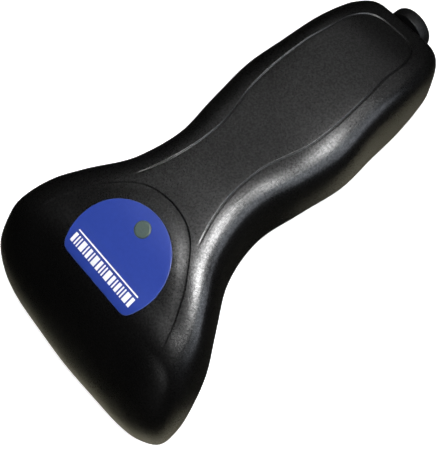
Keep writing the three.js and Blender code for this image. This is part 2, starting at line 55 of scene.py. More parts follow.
# ---- driving dimensions, in mm

WALL = 2.3
GAP = 0.3  # air between neighbouring parts
SNUG = 0.06  # skin's inset from the nominal outline
WELD, SLIVER = 0.002, 0.0005  # points and edges closer or shorter than this merge
SHARP = 32  # degrees at which an edge stays sharp
SPINE = (-60.9, 86.2)  # y of the middles of the head's and tail's rounding
OUTLINE = [
    (0, -77.5), (16.6, -76.9), (33, -75.8), (41.5, -73.6), (48.2, -68.9), (49.2, -60.8),
    (47.2, -52), (43.6, -43), (35.8, -32), (26.1, -18), (22.1, -1), (24.8, 16), (27.2, 34),
    (25.5, 52), (24.6, 66), (23.3, 76), (21.7, 82.2), (16.9, 88.7), (9, 89.7), (0, 89.7),
]
CROWN = [
    (-78, -0.6), (-70, 17.1), (-62, 31.8), (-57, 39.2), (-52.5, 42.6), (-45, 45.6), (-33, 50.4),
    (-22, 53), (-8, 55.6), (8, 56.7), (25, 57.6), (42, 60.6), (57, 62.5), (70, 61.3), (89.7, 56.1),
]
PARTING = [
    (-78, -10.3), (-66, -2.7), (-54, 6.3), (-42, 15.8), (-30, 22.8), (-16, 27.2), (0, 30.7),
    (20, 34.3), (45, 34.4), (60, 35), (75, 38.8), (89.7, 44),
]
KEEL = [
    (-78, -46), (-66, -56), (-50, -50), (-40, -26), (-28, 4), (-22, 9.6), (-12, 14.5), (0, 18.5),
    (20, 23.8), (45, 25), (60, 25.6), (75, 29.6), (89.7, 36),
]
TOP_SQUARENESS = 7
TOP_STEEPNESS = 3.8
KEEL_ROUNDNESS = 3

MOUTH = (-65, -18.6, math.radians(31))  # y, z and slope of each plane
CHIN = (-28, 4.2, math.radians(54.5))
FACET = (-45.3, 45.5, math.radians(22))
MOUTH_WALL = 3
MOUTH_SIZE = (72, 18)
WINDOW_SIZE = (71, 17)
CLEAR_SIZE = (67, 13)
BEZEL_SIZE = (77, 21)

BADGE_RADIUS = 19.9
BADGE_CHORD = 11.1  # from the middle to the straight front edge
BADGE_CORNER = 2.4
BADGE_FIT = 0.12  # gap round the badge in its recess
LIGHT_Y = 12.9
LIGHT_RADIUS = 3.05

BOARD_Z, BOARD_THICK = 36, 1.6
BOARD_TOP = BOARD_Z + BOARD_THICK
BOARD_SCREWS = [(-15.5, 10), (15.5, 10), (-15.5, 66), (15.5, 66)]
SHELL_SCREWS = [(-27, -37.5), (27, -37.5), (-14.5, 77), (14.5, 77)]
SCREW_SEATS = [5, 5, 3.7, 3.7]  # depth of each screw's seat below the parting line
# Radii round the casing's screws and the board's.
BOSS, BOSS_PILOT, WELL, HEAD_HOLE, SHANK_HOLE = 3.2, 1.45, 4, 3.1, 1.6
POST, POST_PILOT = 2.6, 1.3
LABEL_RECESS = ((-9.3, 31.7, 10), (9.3, 58.3, 26.2))
SPRING = (-5, 9.5, 2.4, 0.35, 6)  # x, y, coil radius, wire radius, turns
TRIGGER = (-24.6, 13.6, 10)  # front y, rear y, half-width
TRIGGER_PROUD = 1.6
TRIGGER_THICK = 1.8
PIVOT = (-21.5, 15.4)
PIVOT_HOLE, PIVOT_REACH = 1.6, 14.5  # radius, and half-length in the casing
CHEEK_X, CHEEK_HALF = (10.9, 14), 3.6  # plates beside the lever that hold its pin
GLAND_Z, GLAND_END = 49, 95.05
GLAND_COLLAR, GLAND_NECK, GLAND_BORE = 8.55, 5, 3.8

# Fine groove that frames the handle panel: half-width along the handle, then a rounded end.
GROOVE_SIDE = [(-26, 18.2), (-24, 17.3), (-10, 12.4), (8, 10.9), (30, 15.6), (52, 15.5), (66, 14)]
GROOVE_END = 82.84
GROOVE_DEPTH = 0.42
GROOVE_HALF = 0.5
GROOVE_FADE = (-25, -12)  # y over which its front ends come in
# Crease behind the badge: half-width against y, open towards the head's front corners.
CREASE = [(-20.4, 0), (-20.7, 4), (-21.3, 7.4), (-23.9, 13.2), (-26.6, 16.6), (-31.2, 20.9),
          (-35.9, 24.9), (-41, 28.1), (-48.2, 31.9), (-54, 33.9)]
CREASE_DEPTH = 0.5
CREASE_LIP, CREASE_RUN_OUT = (-0.18, 0.3), (0.5, 6.5)  # across it: steep in, then slowly out
CREASE_FADE, CREASE_DEEPENS = (-55, -49), (-48, -36)  # y over which it comes in and deepens

TILT = math.radians(24)
REST_SHIFT = (0, -17.31, 3.4)
MM = 0.001

# Handle frame in millimetres to the part's frame in metres.
LAY_DOWN = Matrix.Scale(MM, 4) @ Matrix.Translation(REST_SHIFT) @ Matrix.Rotation(-TILT, 4, "X")


def placed(at, angle, axis="X"):
    """Frame at a point of the handle, turned about one of its axes."""
    return LAY_DOWN @ Matrix.Translation(at) @ Matrix.Rotation(angle, 4, axis)


ON_MOUTH = placed((0, *MOUTH[:2]), -MOUTH[2])
ON_FACET = placed((0, *FACET[:2]), FACET[2])
ON_PIVOT = placed((0, *PIVOT), math.pi / 2, "Y")
ON_TAIL = placed((0, 0, GLAND_Z), -math.pi / 2)

# ---- camera

VIEW_DIRECTION = (-40.48, 64.65)  # azimuth and elevation, in degrees
VIEW_DISTANCE = 324.74
VIEW_TARGET = Vector((0, 0, 20))
SENSOR = 36
PHOTO_HEIGHT = 450
LENS_PER_HEIGHT = 872.44 / PHOTO_HEIGHT
SHIFT_UP = 15.32 / PHOTO_HEIGHT


def toward(direction):
    """Unit vector along an azimuth (from +X towards +Y) and an elevation, in degrees."""
    azimuth, elevation = (math.radians(a) for a in direction)
    return Vector((math.cos(azimuth) * math.cos(elevation),
                   math.sin(azimuth) * math.cos(elevation), math.sin(elevation)))


def linked(name, data):
    """New object in the scene."""
    obj = bpy.data.objects.new(name, data)
    scene.collection.objects.link(obj)
    return obj


back = toward(VIEW_DIRECTION)
across = Vector((0, 0, 1)).cross(back).normalized()
upward = back.cross(across)
turn = LAY_DOWN.to_3x3().normalized()
camera_data = bpy.data.cameras.new("view_camera")
camera_data.sensor_width = SENSOR
camera_data.lens = SENSOR * LENS_PER_HEIGHT
camera_data.shift_y = -SHIFT_UP
camera_data.clip_start = 0.01
camera = linked("view_camera", camera_data)
camera_turn = Matrix((turn @ across, turn @ upward, turn @ back)).transposed()
camera_place = LAY_DOWN @ (VIEW_TARGET + back * VIEW_DISTANCE)
camera.matrix_world = Matrix.Translation(camera_place) @ camera_turn.to_4x4()
scene.camera = camera

# ---- materials


class Nodes:
    """Short hand for building the node tree of a material or the world."""

    def __init__(self, name, blocks=bpy.data.materials, shader="Principled BSDF"):
        self.block = blocks.new(name)
        self.block.use_nodes = True
        self.tree = self.block.node_tree
        self.shader = self.tree.nodes[shader]
        self.coordinates = self.add("ShaderNodeTexCoord").outputs["Object"]

    def add(self, kind, inputs=None, **settings):
        node = self.tree.nodes.new(kind)
        for key, value in settings.items():
            setattr(node, key, value)
        for key, value in (inputs or {}).items():
            self.put(value, node.inputs[key])
        return node

    def put(self, value, socket):
        if isinstance(value, bpy.types.NodeSocket):
            self.tree.links.new(value, socket)
        else:
            socket.default_value = value

    def noise(self, scale, detail=3, roughness=0.6, vector=None):
        inputs = {"Vector": vector or self.coordinates, "Scale": scale, "Detail": detail,
                  "Roughness": roughness}
        return self.add("ShaderNodeTexNoise", inputs).outputs["Fac"]

    def cells(self, scale, **settings):
        inputs = {"Vector": self.coordinates, "Scale": scale}
        return self.add("ShaderNodeTexVoronoi", inputs, **settings).outputs["Distance"]

    def ramp(self, value, low, high, start=0.3, end=0.7):
        """Value from start..end mapped to low..high; a noise mostly lies within 0.3..0.7."""
        inputs = {"Value": value, "From Min": start, "From Max": end, "To Min": low, "To Max": high}
        return self.add("ShaderNodeMapRange", inputs).outputs["Result"]

    def mix(self, factor, first, second):
        node = self.add("ShaderNodeMix", data_type="RGBA")
        self.put(factor, node.inputs["Factor"])
        self.put(rgba(first), node.inputs["A"])
        self.put(rgba(second), node.inputs["B"])
        return node.outputs["Result"]

    def math(self, operation, first, second=0.0):
        node = self.add("ShaderNodeMath", operation=operation)
        self.put(first, node.inputs[0])
        self.put(second, node.inputs[1])
        return node.outputs[0]

    def bump(self, height, distance):
        inputs = {"Height": height, "Distance": distance, "Strength": 1.0}
        return self.add("ShaderNodeBump", inputs).outputs["Normal"]

    def surface(self, **inputs):
        for key, value in inputs.items():
            socket = self.shader.inputs[key.replace("_", " ")]
            self.put(rgba(value) if socket.type == "RGBA" else value, socket)
        return self.block


def rgba(color):
    if isinstance(color, tuple) and len(color) == 3:
        return (*color, 1.0)
    return color


def textured_plastic(name, color, roughness, grain, depth, shine=0.5):
    """Moulded plastic with a spark-eroded grain, faint mottling and a few bright specks."""
    n = Nodes(name)
    fine = n.noise(grain, 2, 0.7)
    coarse = n.noise(grain * 0.35, 2, 0.5)
    broad = n.noise(45, 3, 0.5)
    bright = tuple(c * 1.9 for c in color)
    speck = n.ramp(n.cells(grain * 0.55), 1, 0, 0.03, 0.12)
    mottled = n.mix(n.ramp(broad, 0, 1, 0.35, 0.65), color, tuple(c * 1.25 for c in color))
    tone = n.mix(n.math("MULTIPLY", speck, 0.5), mottled, bright)
    height = n.math("ADD", n.math("MULTIPLY", fine, 0.65), n.math("MULTIPLY", coarse, 0.35))
    gloss = n.math("ADD", n.ramp(fine, roughness - 0.05, roughness + 0.05),
                   n.ramp(broad, -0.02, 0.02))
    glint = n.ramp(n.noise(grain * 0.6, 1, 0.5), shine * 0.66, shine * 1.14, 0.35, 0.65)
    return n.surface(Base_Color=tone, Roughness=gloss, Normal=n.bump(height, depth), IOR=1.5,
                     Specular_IOR_Level=glint)


def smooth_plastic(name, color, roughness, variation=0.12):
    """Polished or satin moulding with slight flow marks and handling haze."""
    n = Nodes(name)
    haze = n.noise(160, 4, 0.6)
    flow = n.noise(900, 2, 0.5)
    tone = n.mix(n.ramp(haze, 0, 1), color, tuple(c * (1 + 2 * variation) for c in color))
    gloss = n.ramp(haze, roughness * (1 - variation), roughness * (1 + variation))
    return n.surface(Base_Color=tone, Roughness=gloss, Normal=n.bump(flow, 0.00001))


def metal(name, color, roughness, grain=(1, 1, 40)):
    """Plated or drawn metal with fine streaks along one direction."""
    n = Nodes(name)
    mapping = n.add("ShaderNodeMapping", {"Vector": n.coordinates, "Scale": grain})
    streak = n.noise(260, 3, 0.6, mapping.outputs["Vector"])
    stain = n.noise(120, 3, 0.6)
    tone = n.mix(n.ramp(stain, 0, 1, 0.35, 0.7), color, tuple(c * 0.82 for c in color))
    gloss = n.ramp(streak, roughness * 0.8, roughness * 1.3)
    return n.surface(Base_Color=tone, Metallic=1.0, Roughness=gloss,
                     Normal=n.bump(streak, 0.000008))


def circuit_board(name):
    """Green solder mask with fine tracks, plated pads and a trace of board weave."""
    n = Nodes(name)
    tracks = n.ramp(n.cells(420, distance="MANHATTAN"), 1, 0, 0.42, 0.5)
    weave = n.add("ShaderNodeTexWave", {"Vector": n.coordinates, "Scale": 900.0,
                                        "Distortion": 1.0}).outputs["Fac"]
    pads = n.ramp(n.cells(520), 1, 0, 0.1, 0.16)
    mask = n.mix(tracks, (0.012, 0.11, 0.035), (0.02, 0.17, 0.055))
    tone = n.mix(n.math("MULTIPLY", pads, 0.7), mask, (0.55, 0.5, 0.36))
    return n.surface(Base_Color=tone, Roughness=n.ramp(weave, 0.3, 0.42, 0, 1),
                     Metallic=n.math("MULTIPLY", pads, 0.6),
                     Normal=n.bump(n.math("ADD", tracks, pads), 0.00004))


def tinted_window(name):
    """Deep red acrylic with a faint haze of handling marks."""
    n = Nodes(name)
    haze = n.noise(220, 5, 0.65)
    tone = n.mix(n.ramp(haze, 0, 1), (0.42, 0.006, 0.012), (0.34, 0.004, 0.01))
    gloss = n.ramp(haze, 0.03, 0.09, 0.35, 0.75)
    return n.surface(Base_Color=tone, Roughness=gloss, Transmission_Weight=0.85, IOR=1.49)


def clear_glass(name):
    """Coated lens glass with a thin uneven film."""
    n = Nodes(name)
    film = n.noise(300, 4, 0.6)
    tone = n.mix(film, (0.86, 0.93, 0.97), (0.78, 0.88, 0.98))
    return n.surface(Base_Color=tone, Roughness=n.ramp(film, 0.01, 0.05, 0, 1), IOR=1.52,
                     Transmission_Weight=0.95)


def printed_badge(name):
    """Blue ink under a satin polycarbonate skin, with the ink's fine screen and skin grain."""
    n = Nodes(name)
    ink = n.noise(700, 3, 0.6)
    wash = n.noise(60, 2, 0.5)
    tone = n.mix(n.ramp(ink, 0, 1), (0.019, 0.044, 0.28), (0.023, 0.052, 0.32))
    tone = n.mix(n.ramp(wash, 0, 0.35, 0.35, 0.65), tone, (0.024, 0.057, 0.33))
    return n.surface(Base_Color=tone, Roughness=n.ramp(ink, 0.4, 0.5),
                     Normal=n.bump(n.noise(2600, 2, 0.6), 0.00001), Specular_IOR_Level=0.35)


def frosted_light(name):
    """Grey-green translucent light pipe, frosted on its face."""
    n = Nodes(name)
    frost = n.noise(1500, 3, 0.7)
    tone = n.mix(n.ramp(frost, 0, 1), (0.066, 0.096, 0.087), (0.088, 0.122, 0.11))
    return n.surface(Base_Color=tone, Roughness=n.ramp(frost, 0.32, 0.5),
                     Subsurface_Weight=0.2, Subsurface_Radius=(0.002, 0.002, 0.001),
                     Subsurface_Scale=0.3, Normal=n.bump(frost, 0.00002))


def foam(name):
    """Black open-pored foam."""
    n = Nodes(name)
    pores = n.cells(2600)
    tone = n.mix(n.ramp(pores, 0, 1, 0.1, 0.6), (0.006, 0.006, 0.006), (0.03, 0.03, 0.03))
    return n.surface(Base_Color=tone, Roughness=0.95, Normal=n.bump(pores, 0.0001))


def striped(name, stripes_per_m, first, second, roughness):
    """Parallel conductors or printed rules across one direction."""
    n = Nodes(name)
    split = n.add("ShaderNodeSeparateXYZ", {"Vector": n.coordinates}).outputs["X"]
    wave = n.math("SINE", n.math("MULTIPLY", split, stripes_per_m * 2 * math.pi))
    grain = n.noise(1200, 3, 0.6)
    tone = n.mix(n.ramp(wave, 0, 1, -0.2, 0.2), first, second)
    gloss = n.ramp(grain, roughness - 0.06, roughness + 0.06)
    return n.surface(Base_Color=tone, Roughness=gloss, Normal=n.bump(wave, 0.00004))


def mirror_glass(name):
    """Front-surface mirror with a little dust."""
    n = Nodes(name)
    dust = n.noise(900, 5, 0.7)
    return n.surface(Base_Color=(0.9, 0.92, 0.93), Metallic=1.0,
                     Roughness=n.ramp(dust, 0.01, 0.07, 0.45, 0.8))


LOOKS = {
    "casing": textured_plastic("textured_black_abs", (0.0022, 0.0021, 0.0021), 0.3, 2300, 0.00005,
                               1.0),
    "trim": textured_plastic("satin_black_abs", (0.003, 0.0029, 0.0029), 0.52, 3200, 0.00004),
    "rubbery": textured_plastic("grained_trigger_plastic", (0.004, 0.004, 0.0042), 0.5, 3400,
                                0.00005),
    "badge": printed_badge("blue_badge_print"),
    "badge_rim": smooth_plastic("badge_clear_edge", (0.045, 0.07, 0.25), 0.35),
    "print": smooth_plastic("white_print", (0.88, 0.88, 0.9), 0.42, 0.05),
    "light": frosted_light("frosted_light_window"),
    "window": tinted_window("red_acrylic"),
    "board": circuit_board("green_circuit_board"),
    "chip": textured_plastic("moulded_chip_black", (0.014, 0.014, 0.015), 0.5, 5200, 0.00003),
    "steel": metal("plated_steel", (0.6, 0.61, 0.63), 0.28),
    "can": metal("component_can", (0.72, 0.73, 0.75), 0.22, (30, 30, 1)),
    "mirror": mirror_glass("front_surface_mirror"),
    "lamp": smooth_plastic("lamp_epoxy", (0.78, 0.75, 0.62), 0.2),
    "foam": foam("black_foam"),
    "ribbon": striped("ribbon_cable", 1400, (0.62, 0.62, 0.6), (0.42, 0.42, 0.42), 0.5),
    "glass": clear_glass("coated_lens_glass"),
    "label": textured_plastic("silver_label_film", (0.38, 0.39, 0.4), 0.42, 4200, 0.00001),
    "ink": smooth_plastic("dark_label_ink", (0.02, 0.02, 0.022), 0.5),
    "inner": textured_plastic("matt_black_moulding", (0.018, 0.018, 0.019), 0.62, 2400, 0.00006),
    "nylon": smooth_plastic("off_white_nylon", (0.72, 0.7, 0.64), 0.45),
}

# ---- mesh helpers


def new_object(name, vertices, faces, place=LAY_DOWN):
    """Object whose vertices are given in millimetres, in the handle frame unless place says."""
    mesh = bpy.data.meshes.new(name)
    mesh.from_pydata([place @ Vector(v) for v in vertices], [], faces)
    return linked(name, mesh)


def tidy(obj, sharp_angle=SHARP):
    """Welds, turns normals outward and shades smooth up to an edge angle."""
    bm = bmesh.new()
    bm.from_mesh(obj.data)
    bmesh.ops.remove_doubles(bm, verts=bm.verts, dist=WELD * MM)
    bmesh.ops.dissolve_degenerate(bm, edges=bm.edges, dist=SLIVER * MM)
    bmesh.ops.recalc_face_normals(bm, faces=bm.faces)
    bm.to_mesh(obj.data)
    bm.free()
    return shaded(obj, sharp_angle)


def shaded(obj, sharp_angle=SHARP):
    """Shades smooth up to an edge angle."""
    obj.data.shade_smooth()
    obj.data.set_sharp_from_angle(angle=math.radians(sharp_angle))
    return obj


def carve(obj, cutters, operation="DIFFERENCE"):
    """Applies an exact boolean with each cutter in turn and removes the cutters."""
    for cutter in cutters:
        modifier = obj.modifiers.new("carve", "BOOLEAN")
        modifier.object = cutter
        modifier.operation = operation
        modifier.solver = "EXACT"
        bpy.context.view_layer.update()
        graph = bpy.context.evaluated_depsgraph_get()
        uncut, obj.data = obj.data, bpy.data.meshes.new_from_object(obj.evaluated_get(graph))
        obj.modifiers.clear()
        bpy.data.meshes.remove(uncut)
    for cutter in cutters:
        bpy.data.objects.remove(cutter)
    return obj


def finish_piece(obj, look, body="housing", stands_for=()):
    """Gives a piece its material and slot, hides what it stands for and puts it on its body."""
    if not obj.data.materials:
        obj.data.materials.append(LOOKS[look])
    if stands_for:
        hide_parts(*stands_for)
    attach(obj, body)


def grid_faces(rows, columns):
    """Quads between consecutive closed rows of points."""
    faces = []
    for i in range(rows - 1):
        for j in range(columns):
            k = (j + 1) % columns
            faces.append((i * columns + j, i * columns + k, (i + 1) * columns + k,
                          (i + 1) * columns + j))
    return faces


def capped_faces(rows, columns):
    """Quads between closed rows of points, with a face over the first row and the last."""
    caps = [tuple(reversed(range(columns))), tuple(range((rows - 1) * columns, rows * columns))]
    return grid_faces(rows, columns) + caps


def skinned(name, rings, place=LAY_DOWN):
    """Object with quads from each closed ring of points to the next."""
    return new_object(name, [point for loop in rings for point in loop],
                      grid_faces(len(rings), len(rings[0])), place)


def circle(radius, sides, x=0, y=0):
    turns = (2 * math.pi * k / sides for k in range(sides))
    return [(x + radius * math.cos(a), y + radius * math.sin(a)) for a in turns]


def mirrored(points):
    """The plan points' mirror images across the middle plane, last one first."""
    return [(-x, y) for x, y in reversed(points)]


def rounded_rectangle(size, radius, segments=8):
    """Plan loop of a rectangle with true round corners, anticlockwise."""
    x, y = size[0] / 2 - radius, size[1] / 2 - radius
    loop = []
    for cx, cy, start in ((x, y, 0), (-x, y, 90), (-x, -y, 180), (x, -y, 270)):
        for k in range(segments + 1):
            a = math.radians(start + 90 * k / segments)
            loop.append((cx + radius * math.cos(a), cy + radius * math.sin(a)))
    return loop


def split_sides(loop, longest):
    """Closed loop with points added so that no side is longer than a length."""
    points = []
    for here, after in zip(loop, loop[1:] + loop[:1]):
        pieces = max(1, math.ceil(math.dist(here, after) / longest))
        for k in range(pieces):
            t = k / pieces
            points.append((here[0] + (after[0] - here[0]) * t, here[1] + (after[1] - here[1]) * t))
    return points


def inward(loop, distance):
    """Anticlockwise closed loop moved in by a distance along its own normals."""
    count = len(loop)
    moved = []
    for i in range(count):
        before, here, after = (Vector(loop[(i + k) % count]) for k in (-1, 0, 1))
        normal = Vector((0.0, 0.0))
        for step in (here - before, after - here):
            if step.length > 1e-9:
                step.normalize()
                normal += Vector((-step.y, step.x))
        normal.normalize()
        moved.append((here.x + normal.x * distance, here.y + normal.y * distance))
    return moved


def plate(loop, levels):
    """Solid from an outline drawn in by each level's inset, as (inset, z), closed by two caps."""
    vertices = []
    for inset, z in levels:
        points = inward(loop, inset) if inset else loop
        vertices += [(x, y, z) for x, y in points]
    return vertices, capped_faces(len(levels), len(loop))


def box_solid(low, high, place=LAY_DOWN):
    (x0, y0, z0), (x1, y1, z1) = low, high
    vertices = [(x, y, z) for z in (z0, z1) for y in (y0, y1) for x in (x0, x1)]
    faces = [(0, 2, 3, 1), (4, 5, 7, 6), (0, 1, 5, 4), (2, 6, 7, 3), (0, 4, 6, 2), (1, 3, 7, 5)]
    return new_object("box", vertices, faces, place)


def cylinder(x, y, z0, z1, radius, sides=48, place=LAY_DOWN):
    solid = plate(circle(radius, sides, x, y), [(0, z0), (0, z1)])
    return new_object("cylinder", *solid, place)


def lathe(name, profile, sides, place, sharp_angle=SHARP):
    """Solid of revolution about Z from (radius, height) points, axis to axis or round a loop."""
    rings = [[(x, y, height) for x, y in circle(radius, sides)] for radius, height in profile]
    return tidy(skinned(name, rings, place), sharp_angle)


# ---- casing surface


def cubic(start, rise, leave, arrive, t):
    """Cubic piece from its start, its rise and its slopes at both ends, for t from 0 to 1."""
    return (start + t * leave + t * t * (3 * rise - 2 * leave - arrive)
            + t ** 3 * (leave + arrive - 2 * rise))


def height_line(points):
    """Smooth height through (y, z) points: cubic pieces with averaged slopes."""
    ys = np.array([p[0] for p in points], float)
    zs = np.array([p[1] for p in points], float)
    last = len(ys) - 1
    low = np.maximum(np.arange(last + 1) - 1, 0)
    high = np.minimum(np.arange(last + 1) + 1, last)
    slopes = (zs[high] - zs[low]) / (ys[high] - ys[low])

    def height(y):
        y = np.clip(np.asarray(y, float), ys[0], ys[-1])
        i = np.clip(np.searchsorted(ys, y, side="right") - 1, 0, last - 1)
        span = ys[i + 1] - ys[i]
        return cubic(zs[i], zs[i + 1] - zs[i], slopes[i] * span, slopes[i + 1] * span,
                     (y - ys[i]) / span)

    return height


crown, parting, keel = height_line(CROWN), height_line(PARTING), height_line(KEEL)


def catmull_rom(points, steps):
    """Closed centripetal curve as rows of (point, tangent), with `steps` rows to each span."""
    count = len(points)
    pts = np.array(points, float)
    rows = []
    for i in range(count):
        p = [pts[(i + k) % count] for k in (-1, 0, 1, 2)]
        d = [max(float(np.dot(q - w, q - w)) ** 0.25, 1e-4) for w, q in zip(p, p[1:])]
        t1 = (p[1] - p[0]) / d[0] - (p[2] - p[0]) / (d[0] + d[1]) + (p[2] - p[1]) / d[1]
        t2 = (p[2] - p[1]) / d[1] - (p[3] - p[1]) / (d[1] + d[2]) + (p[3] - p[2]) / d[2]
        t1, t2 = t1 * d[1], t2 * d[1]
        c2 = -3 * p[1] + 3 * p[2] - 2 * t1 - t2
        c3 = 2 * p[1] - 2 * p[2] + t1 + t2
        for k in range(steps):
            t = k / steps
            rows.append((p[1] + t1 * t + c2 * t * t + c3 * t ** 3,
                         t1 + 2 * c2 * t + 3 * c3 * t * t))
    return rows


OUTLINE_STEPS, FINE_STEPS = 6, 24  # points to each span of the outline


def plan_outline(inset=0.0, steps=OUTLINE_STEPS):
    """Closed plan outline moved inward, its left half an exact mirror of its right half."""
    inset += SNUG
    rows = catmull_rom(OUTLINE + mirrored(OUTLINE[1:-1]), steps)
    half = (len(OUTLINE) - 1) * steps
    points = []
    for i in range(half + 1):
        point, along = rows[i]
        along = along / np.linalg.norm(along)
        x = 0.0 if i in (0, half) else point[0] - along[1] * inset
        points.append((x, point[1] + along[0] * inset))
    return points + mirrored(points[1:-1])


HALF_OUTLINE = np.array(plan_outline(0.0, FINE_STEPS)[: (len(OUTLINE) - 1) * FINE_STEPS + 1])


def ratio_at(x, y):
    """How far out a plan point lies: 0 on the spine, 1 on the outline."""
    x, y = np.abs(np.asarray(x, float)), np.asarray(y, float)
    ys = HALF_OUTLINE[:, 1]
    side = HALF_OUTLINE[(ys >= SPINE[0]) & (ys <= SPINE[1])]
    ratio = x / np.interp(y, side[:, 1], side[:, 0])
    for end, sign in ((SPINE[0], -1), (SPINE[1], 1)):
        rows = HALF_OUTLINE[sign * (ys - end) >= -0.01]
        angle = np.arctan2(sign * (rows[:, 1] - end), rows[:, 0])
        reach = np.hypot(rows[:, 0], rows[:, 1] - end)
        order = np.argsort(angle)
        past = sign * (y - end)
        here = np.interp(np.arctan2(past, x), angle[order], reach[order])
        ratio = np.where(past > 0, np.hypot(x, past) / here, ratio)
    return ratio


def dome(y, ratio, drop=0):
    """Height of the top skin at a ratio, or of a copy whose crown is that much lower."""
    swell = (1 - np.clip(ratio, 0, 1) ** TOP_SQUARENESS) ** (1 / TOP_STEEPNESS)
    return parting(y) + (crown(y) - drop - parting(y)) * swell


def hollow_dome(y, ratio):
    return dome(y, ratio, WALL)


def seam(y, _):
    """Height of the parting surface, which is the same at every ratio."""
    return parting(y)


def top_height(x, y):
    return dome(y, ratio_at(x, y))


LINE_STEP = 0.5


def polyline(points):
    """Even resampling of a plan line by a smooth curve through its points."""
    pts = np.array(points, float)
    chord = np.r_[0, np.cumsum(np.hypot(*np.diff(pts, axis=0).T))]
    fine = np.linspace(0, chord[-1], int(chord[-1] / LINE_STEP) + 2)
    slopes = np.gradient(pts, chord, axis=0)
    i = np.clip(np.searchsorted(chord, fine, side="right") - 1, 0, len(chord) - 2)
    h = (chord[i + 1] - chord[i])[:, None]
    return cubic(pts[i], pts[i + 1] - pts[i], slopes[i] * h, slopes[i + 1] * h,
                 (fine[:, None] - chord[i][:, None]) / h)


def groove_line():
    """Plan line of the whole groove, up the right side, round the tail and back down."""
    side = [(x, y) for y, x in GROOVE_SIDE]
    y0, x0 = GROOVE_SIDE[-1]
    rounding = [(x0 * math.cos(a) ** 0.55, y0 + (GROOVE_END - y0) * math.sin(a) ** 0.8)
                for a in (math.radians(k) for k in range(8, 90, 8))]
    right = side + rounding
    return polyline(right + [(0.0, GROOVE_END)] + mirrored(right))


def crease_line():
    right = [(x, y) for y, x in CREASE]
    return polyline(mirrored(right[1:]) + right)


def distance_to(line, x, y):
    """Distance from plan points to a polyline, and the index of the nearest segment."""
    p = np.stack([x, y], -1)[:, None]
    a, b = line[:-1], line[1:]
    ab = b - a
    t = np.clip(((p - a) * ab).sum(-1) / (ab ** 2).sum(-1), 0, 1)
    gap = np.linalg.norm(a + t[..., None] * ab - p, axis=-1)
    return gap.min(1), gap.argmin(1)


GROOVE = groove_line()
CREASE_PATH = crease_line()


def ease(value, start, end):
    """From 0 at the start to 1 at the end, with soft ends."""
    t = np.clip((value - start) / (end - start), 0, 1)
    return t * t * (3 - 2 * t)


def sunk(x, y):
    """How deep the groove and the crease sink the top at plan points, in millimetres."""
    d, _ = distance_to(GROOVE, x, y)
    groove = GROOVE_DEPTH * (0.5 + 0.5 * np.cos(np.pi * np.clip(d / GROOVE_HALF, 0, 1)))
    groove *= ease(y, *GROOVE_FADE)
    d, i = distance_to(CREASE_PATH, x, y)
    from_start = np.stack([x, y], -1) - CREASE_PATH[i]
    along = CREASE_PATH[i + 1] - CREASE_PATH[i]
    turn_left = along[..., 0] * from_start[..., 1] - along[..., 1] * from_start[..., 0]
    inside = np.where(turn_left < 0, d, -d)
    scoop = CREASE_DEPTH * ease(inside, *CREASE_LIP) * (1 - ease(inside, *CREASE_RUN_OUT))
    return groove + scoop * (0.4 + 0.6 * ease(y, *CREASE_DEEPENS)) * ease(y, *CREASE_FADE)


SLOPE_REACH = 0.15  # half the span that a slope is measured over


def top_point(x, y, lift=0.0):
    """Points of the finished top surface over plan points, or that far above it."""
    e = SLOPE_REACH
    z = top_height(x, y)
    nx = -(top_height(x + e, y) - top_height(x - e, y)) / (2 * e)
    ny = -(top_height(x, y + e) - top_height(x, y - e)) / (2 * e)
    size = np.sqrt(nx * nx + ny * ny + 1)
    depth = sunk(x, y) - lift
    return np.stack([x - depth * nx / size, y - depth * ny / size, z - depth / size], -1)


BADGE_RINGS = [1 - k / 20 for k in range(1, 21)]
# Rounding of the top shell's lip, as (inset, height above the lip).
LIP_ROUND = ((0, 0.9), (0, 0.4), (0.06, 0.16), (0.2, 0.03), (0.4, 0))


def ring(outline, ratio, height, lift=0.0):
    """Outline drawn in towards the spine by a ratio, at a height that depends on y and ratio."""
    points = []
    for x, y in outline:
        spine_y = min(max(y, SPINE[0]), SPINE[1])
        points.append((x * ratio, spine_y + (y - spine_y) * ratio))
    y = np.array([p[1] for p in points])
    z = height(y, ratio) + lift
    return [(p[0], p[1], float(h)) for p, h in zip(points, z)]


SHOULDER = 0.78  # ratio at which the top turns down


def top_ratios(flat_rings, side_rings):
    """Ring ratios: even across the top, then even in angle down the shoulder."""
    start = math.acos(SHOULDER ** (TOP_SQUARENESS / 2))
    flat = [SHOULDER * i / flat_rings for i in range(flat_rings)]
    side = [math.cos(start * (1 - i / side_rings) ** 1.25) ** (2 / TOP_SQUARENESS)
            for i in range(side_rings + 1)]
    return flat + side


# Distance from the groove or the crease within which edges are at most so long.
FEATURE_BANDS = ((3.2, 1.3), (1.9, 0.65), (1.2, 0.33), (0.85, 0.19), (0.62, 0.11))
BATCH = 4000
CHORD_SAG = 0.6
SKIN_RATIO = 0.93


def in_batches(function, plan):
    """Runs a vectorised plan function over many points without using much memory."""
    parts = [function(plan[k:k + BATCH, 0], plan[k:k + BATCH, 1])
             for k in range(0, len(plan), BATCH)]
    return np.concatenate(parts)


def on_top_skin(points):
    """Which points lie on, or a chord's sag away from, the upper part of the top skin."""
    x, y, z = points.T
    return (np.abs(top_height(x, y) - z) < CHORD_SAG) & (ratio_at(x, y) < SKIN_RATIO)


def near_features(x, y):
    """Distance to the groove or the crease, whichever is nearer."""
    return np.minimum(distance_to(GROOVE, x, y)[0], distance_to(CREASE_PATH, x, y)[0])


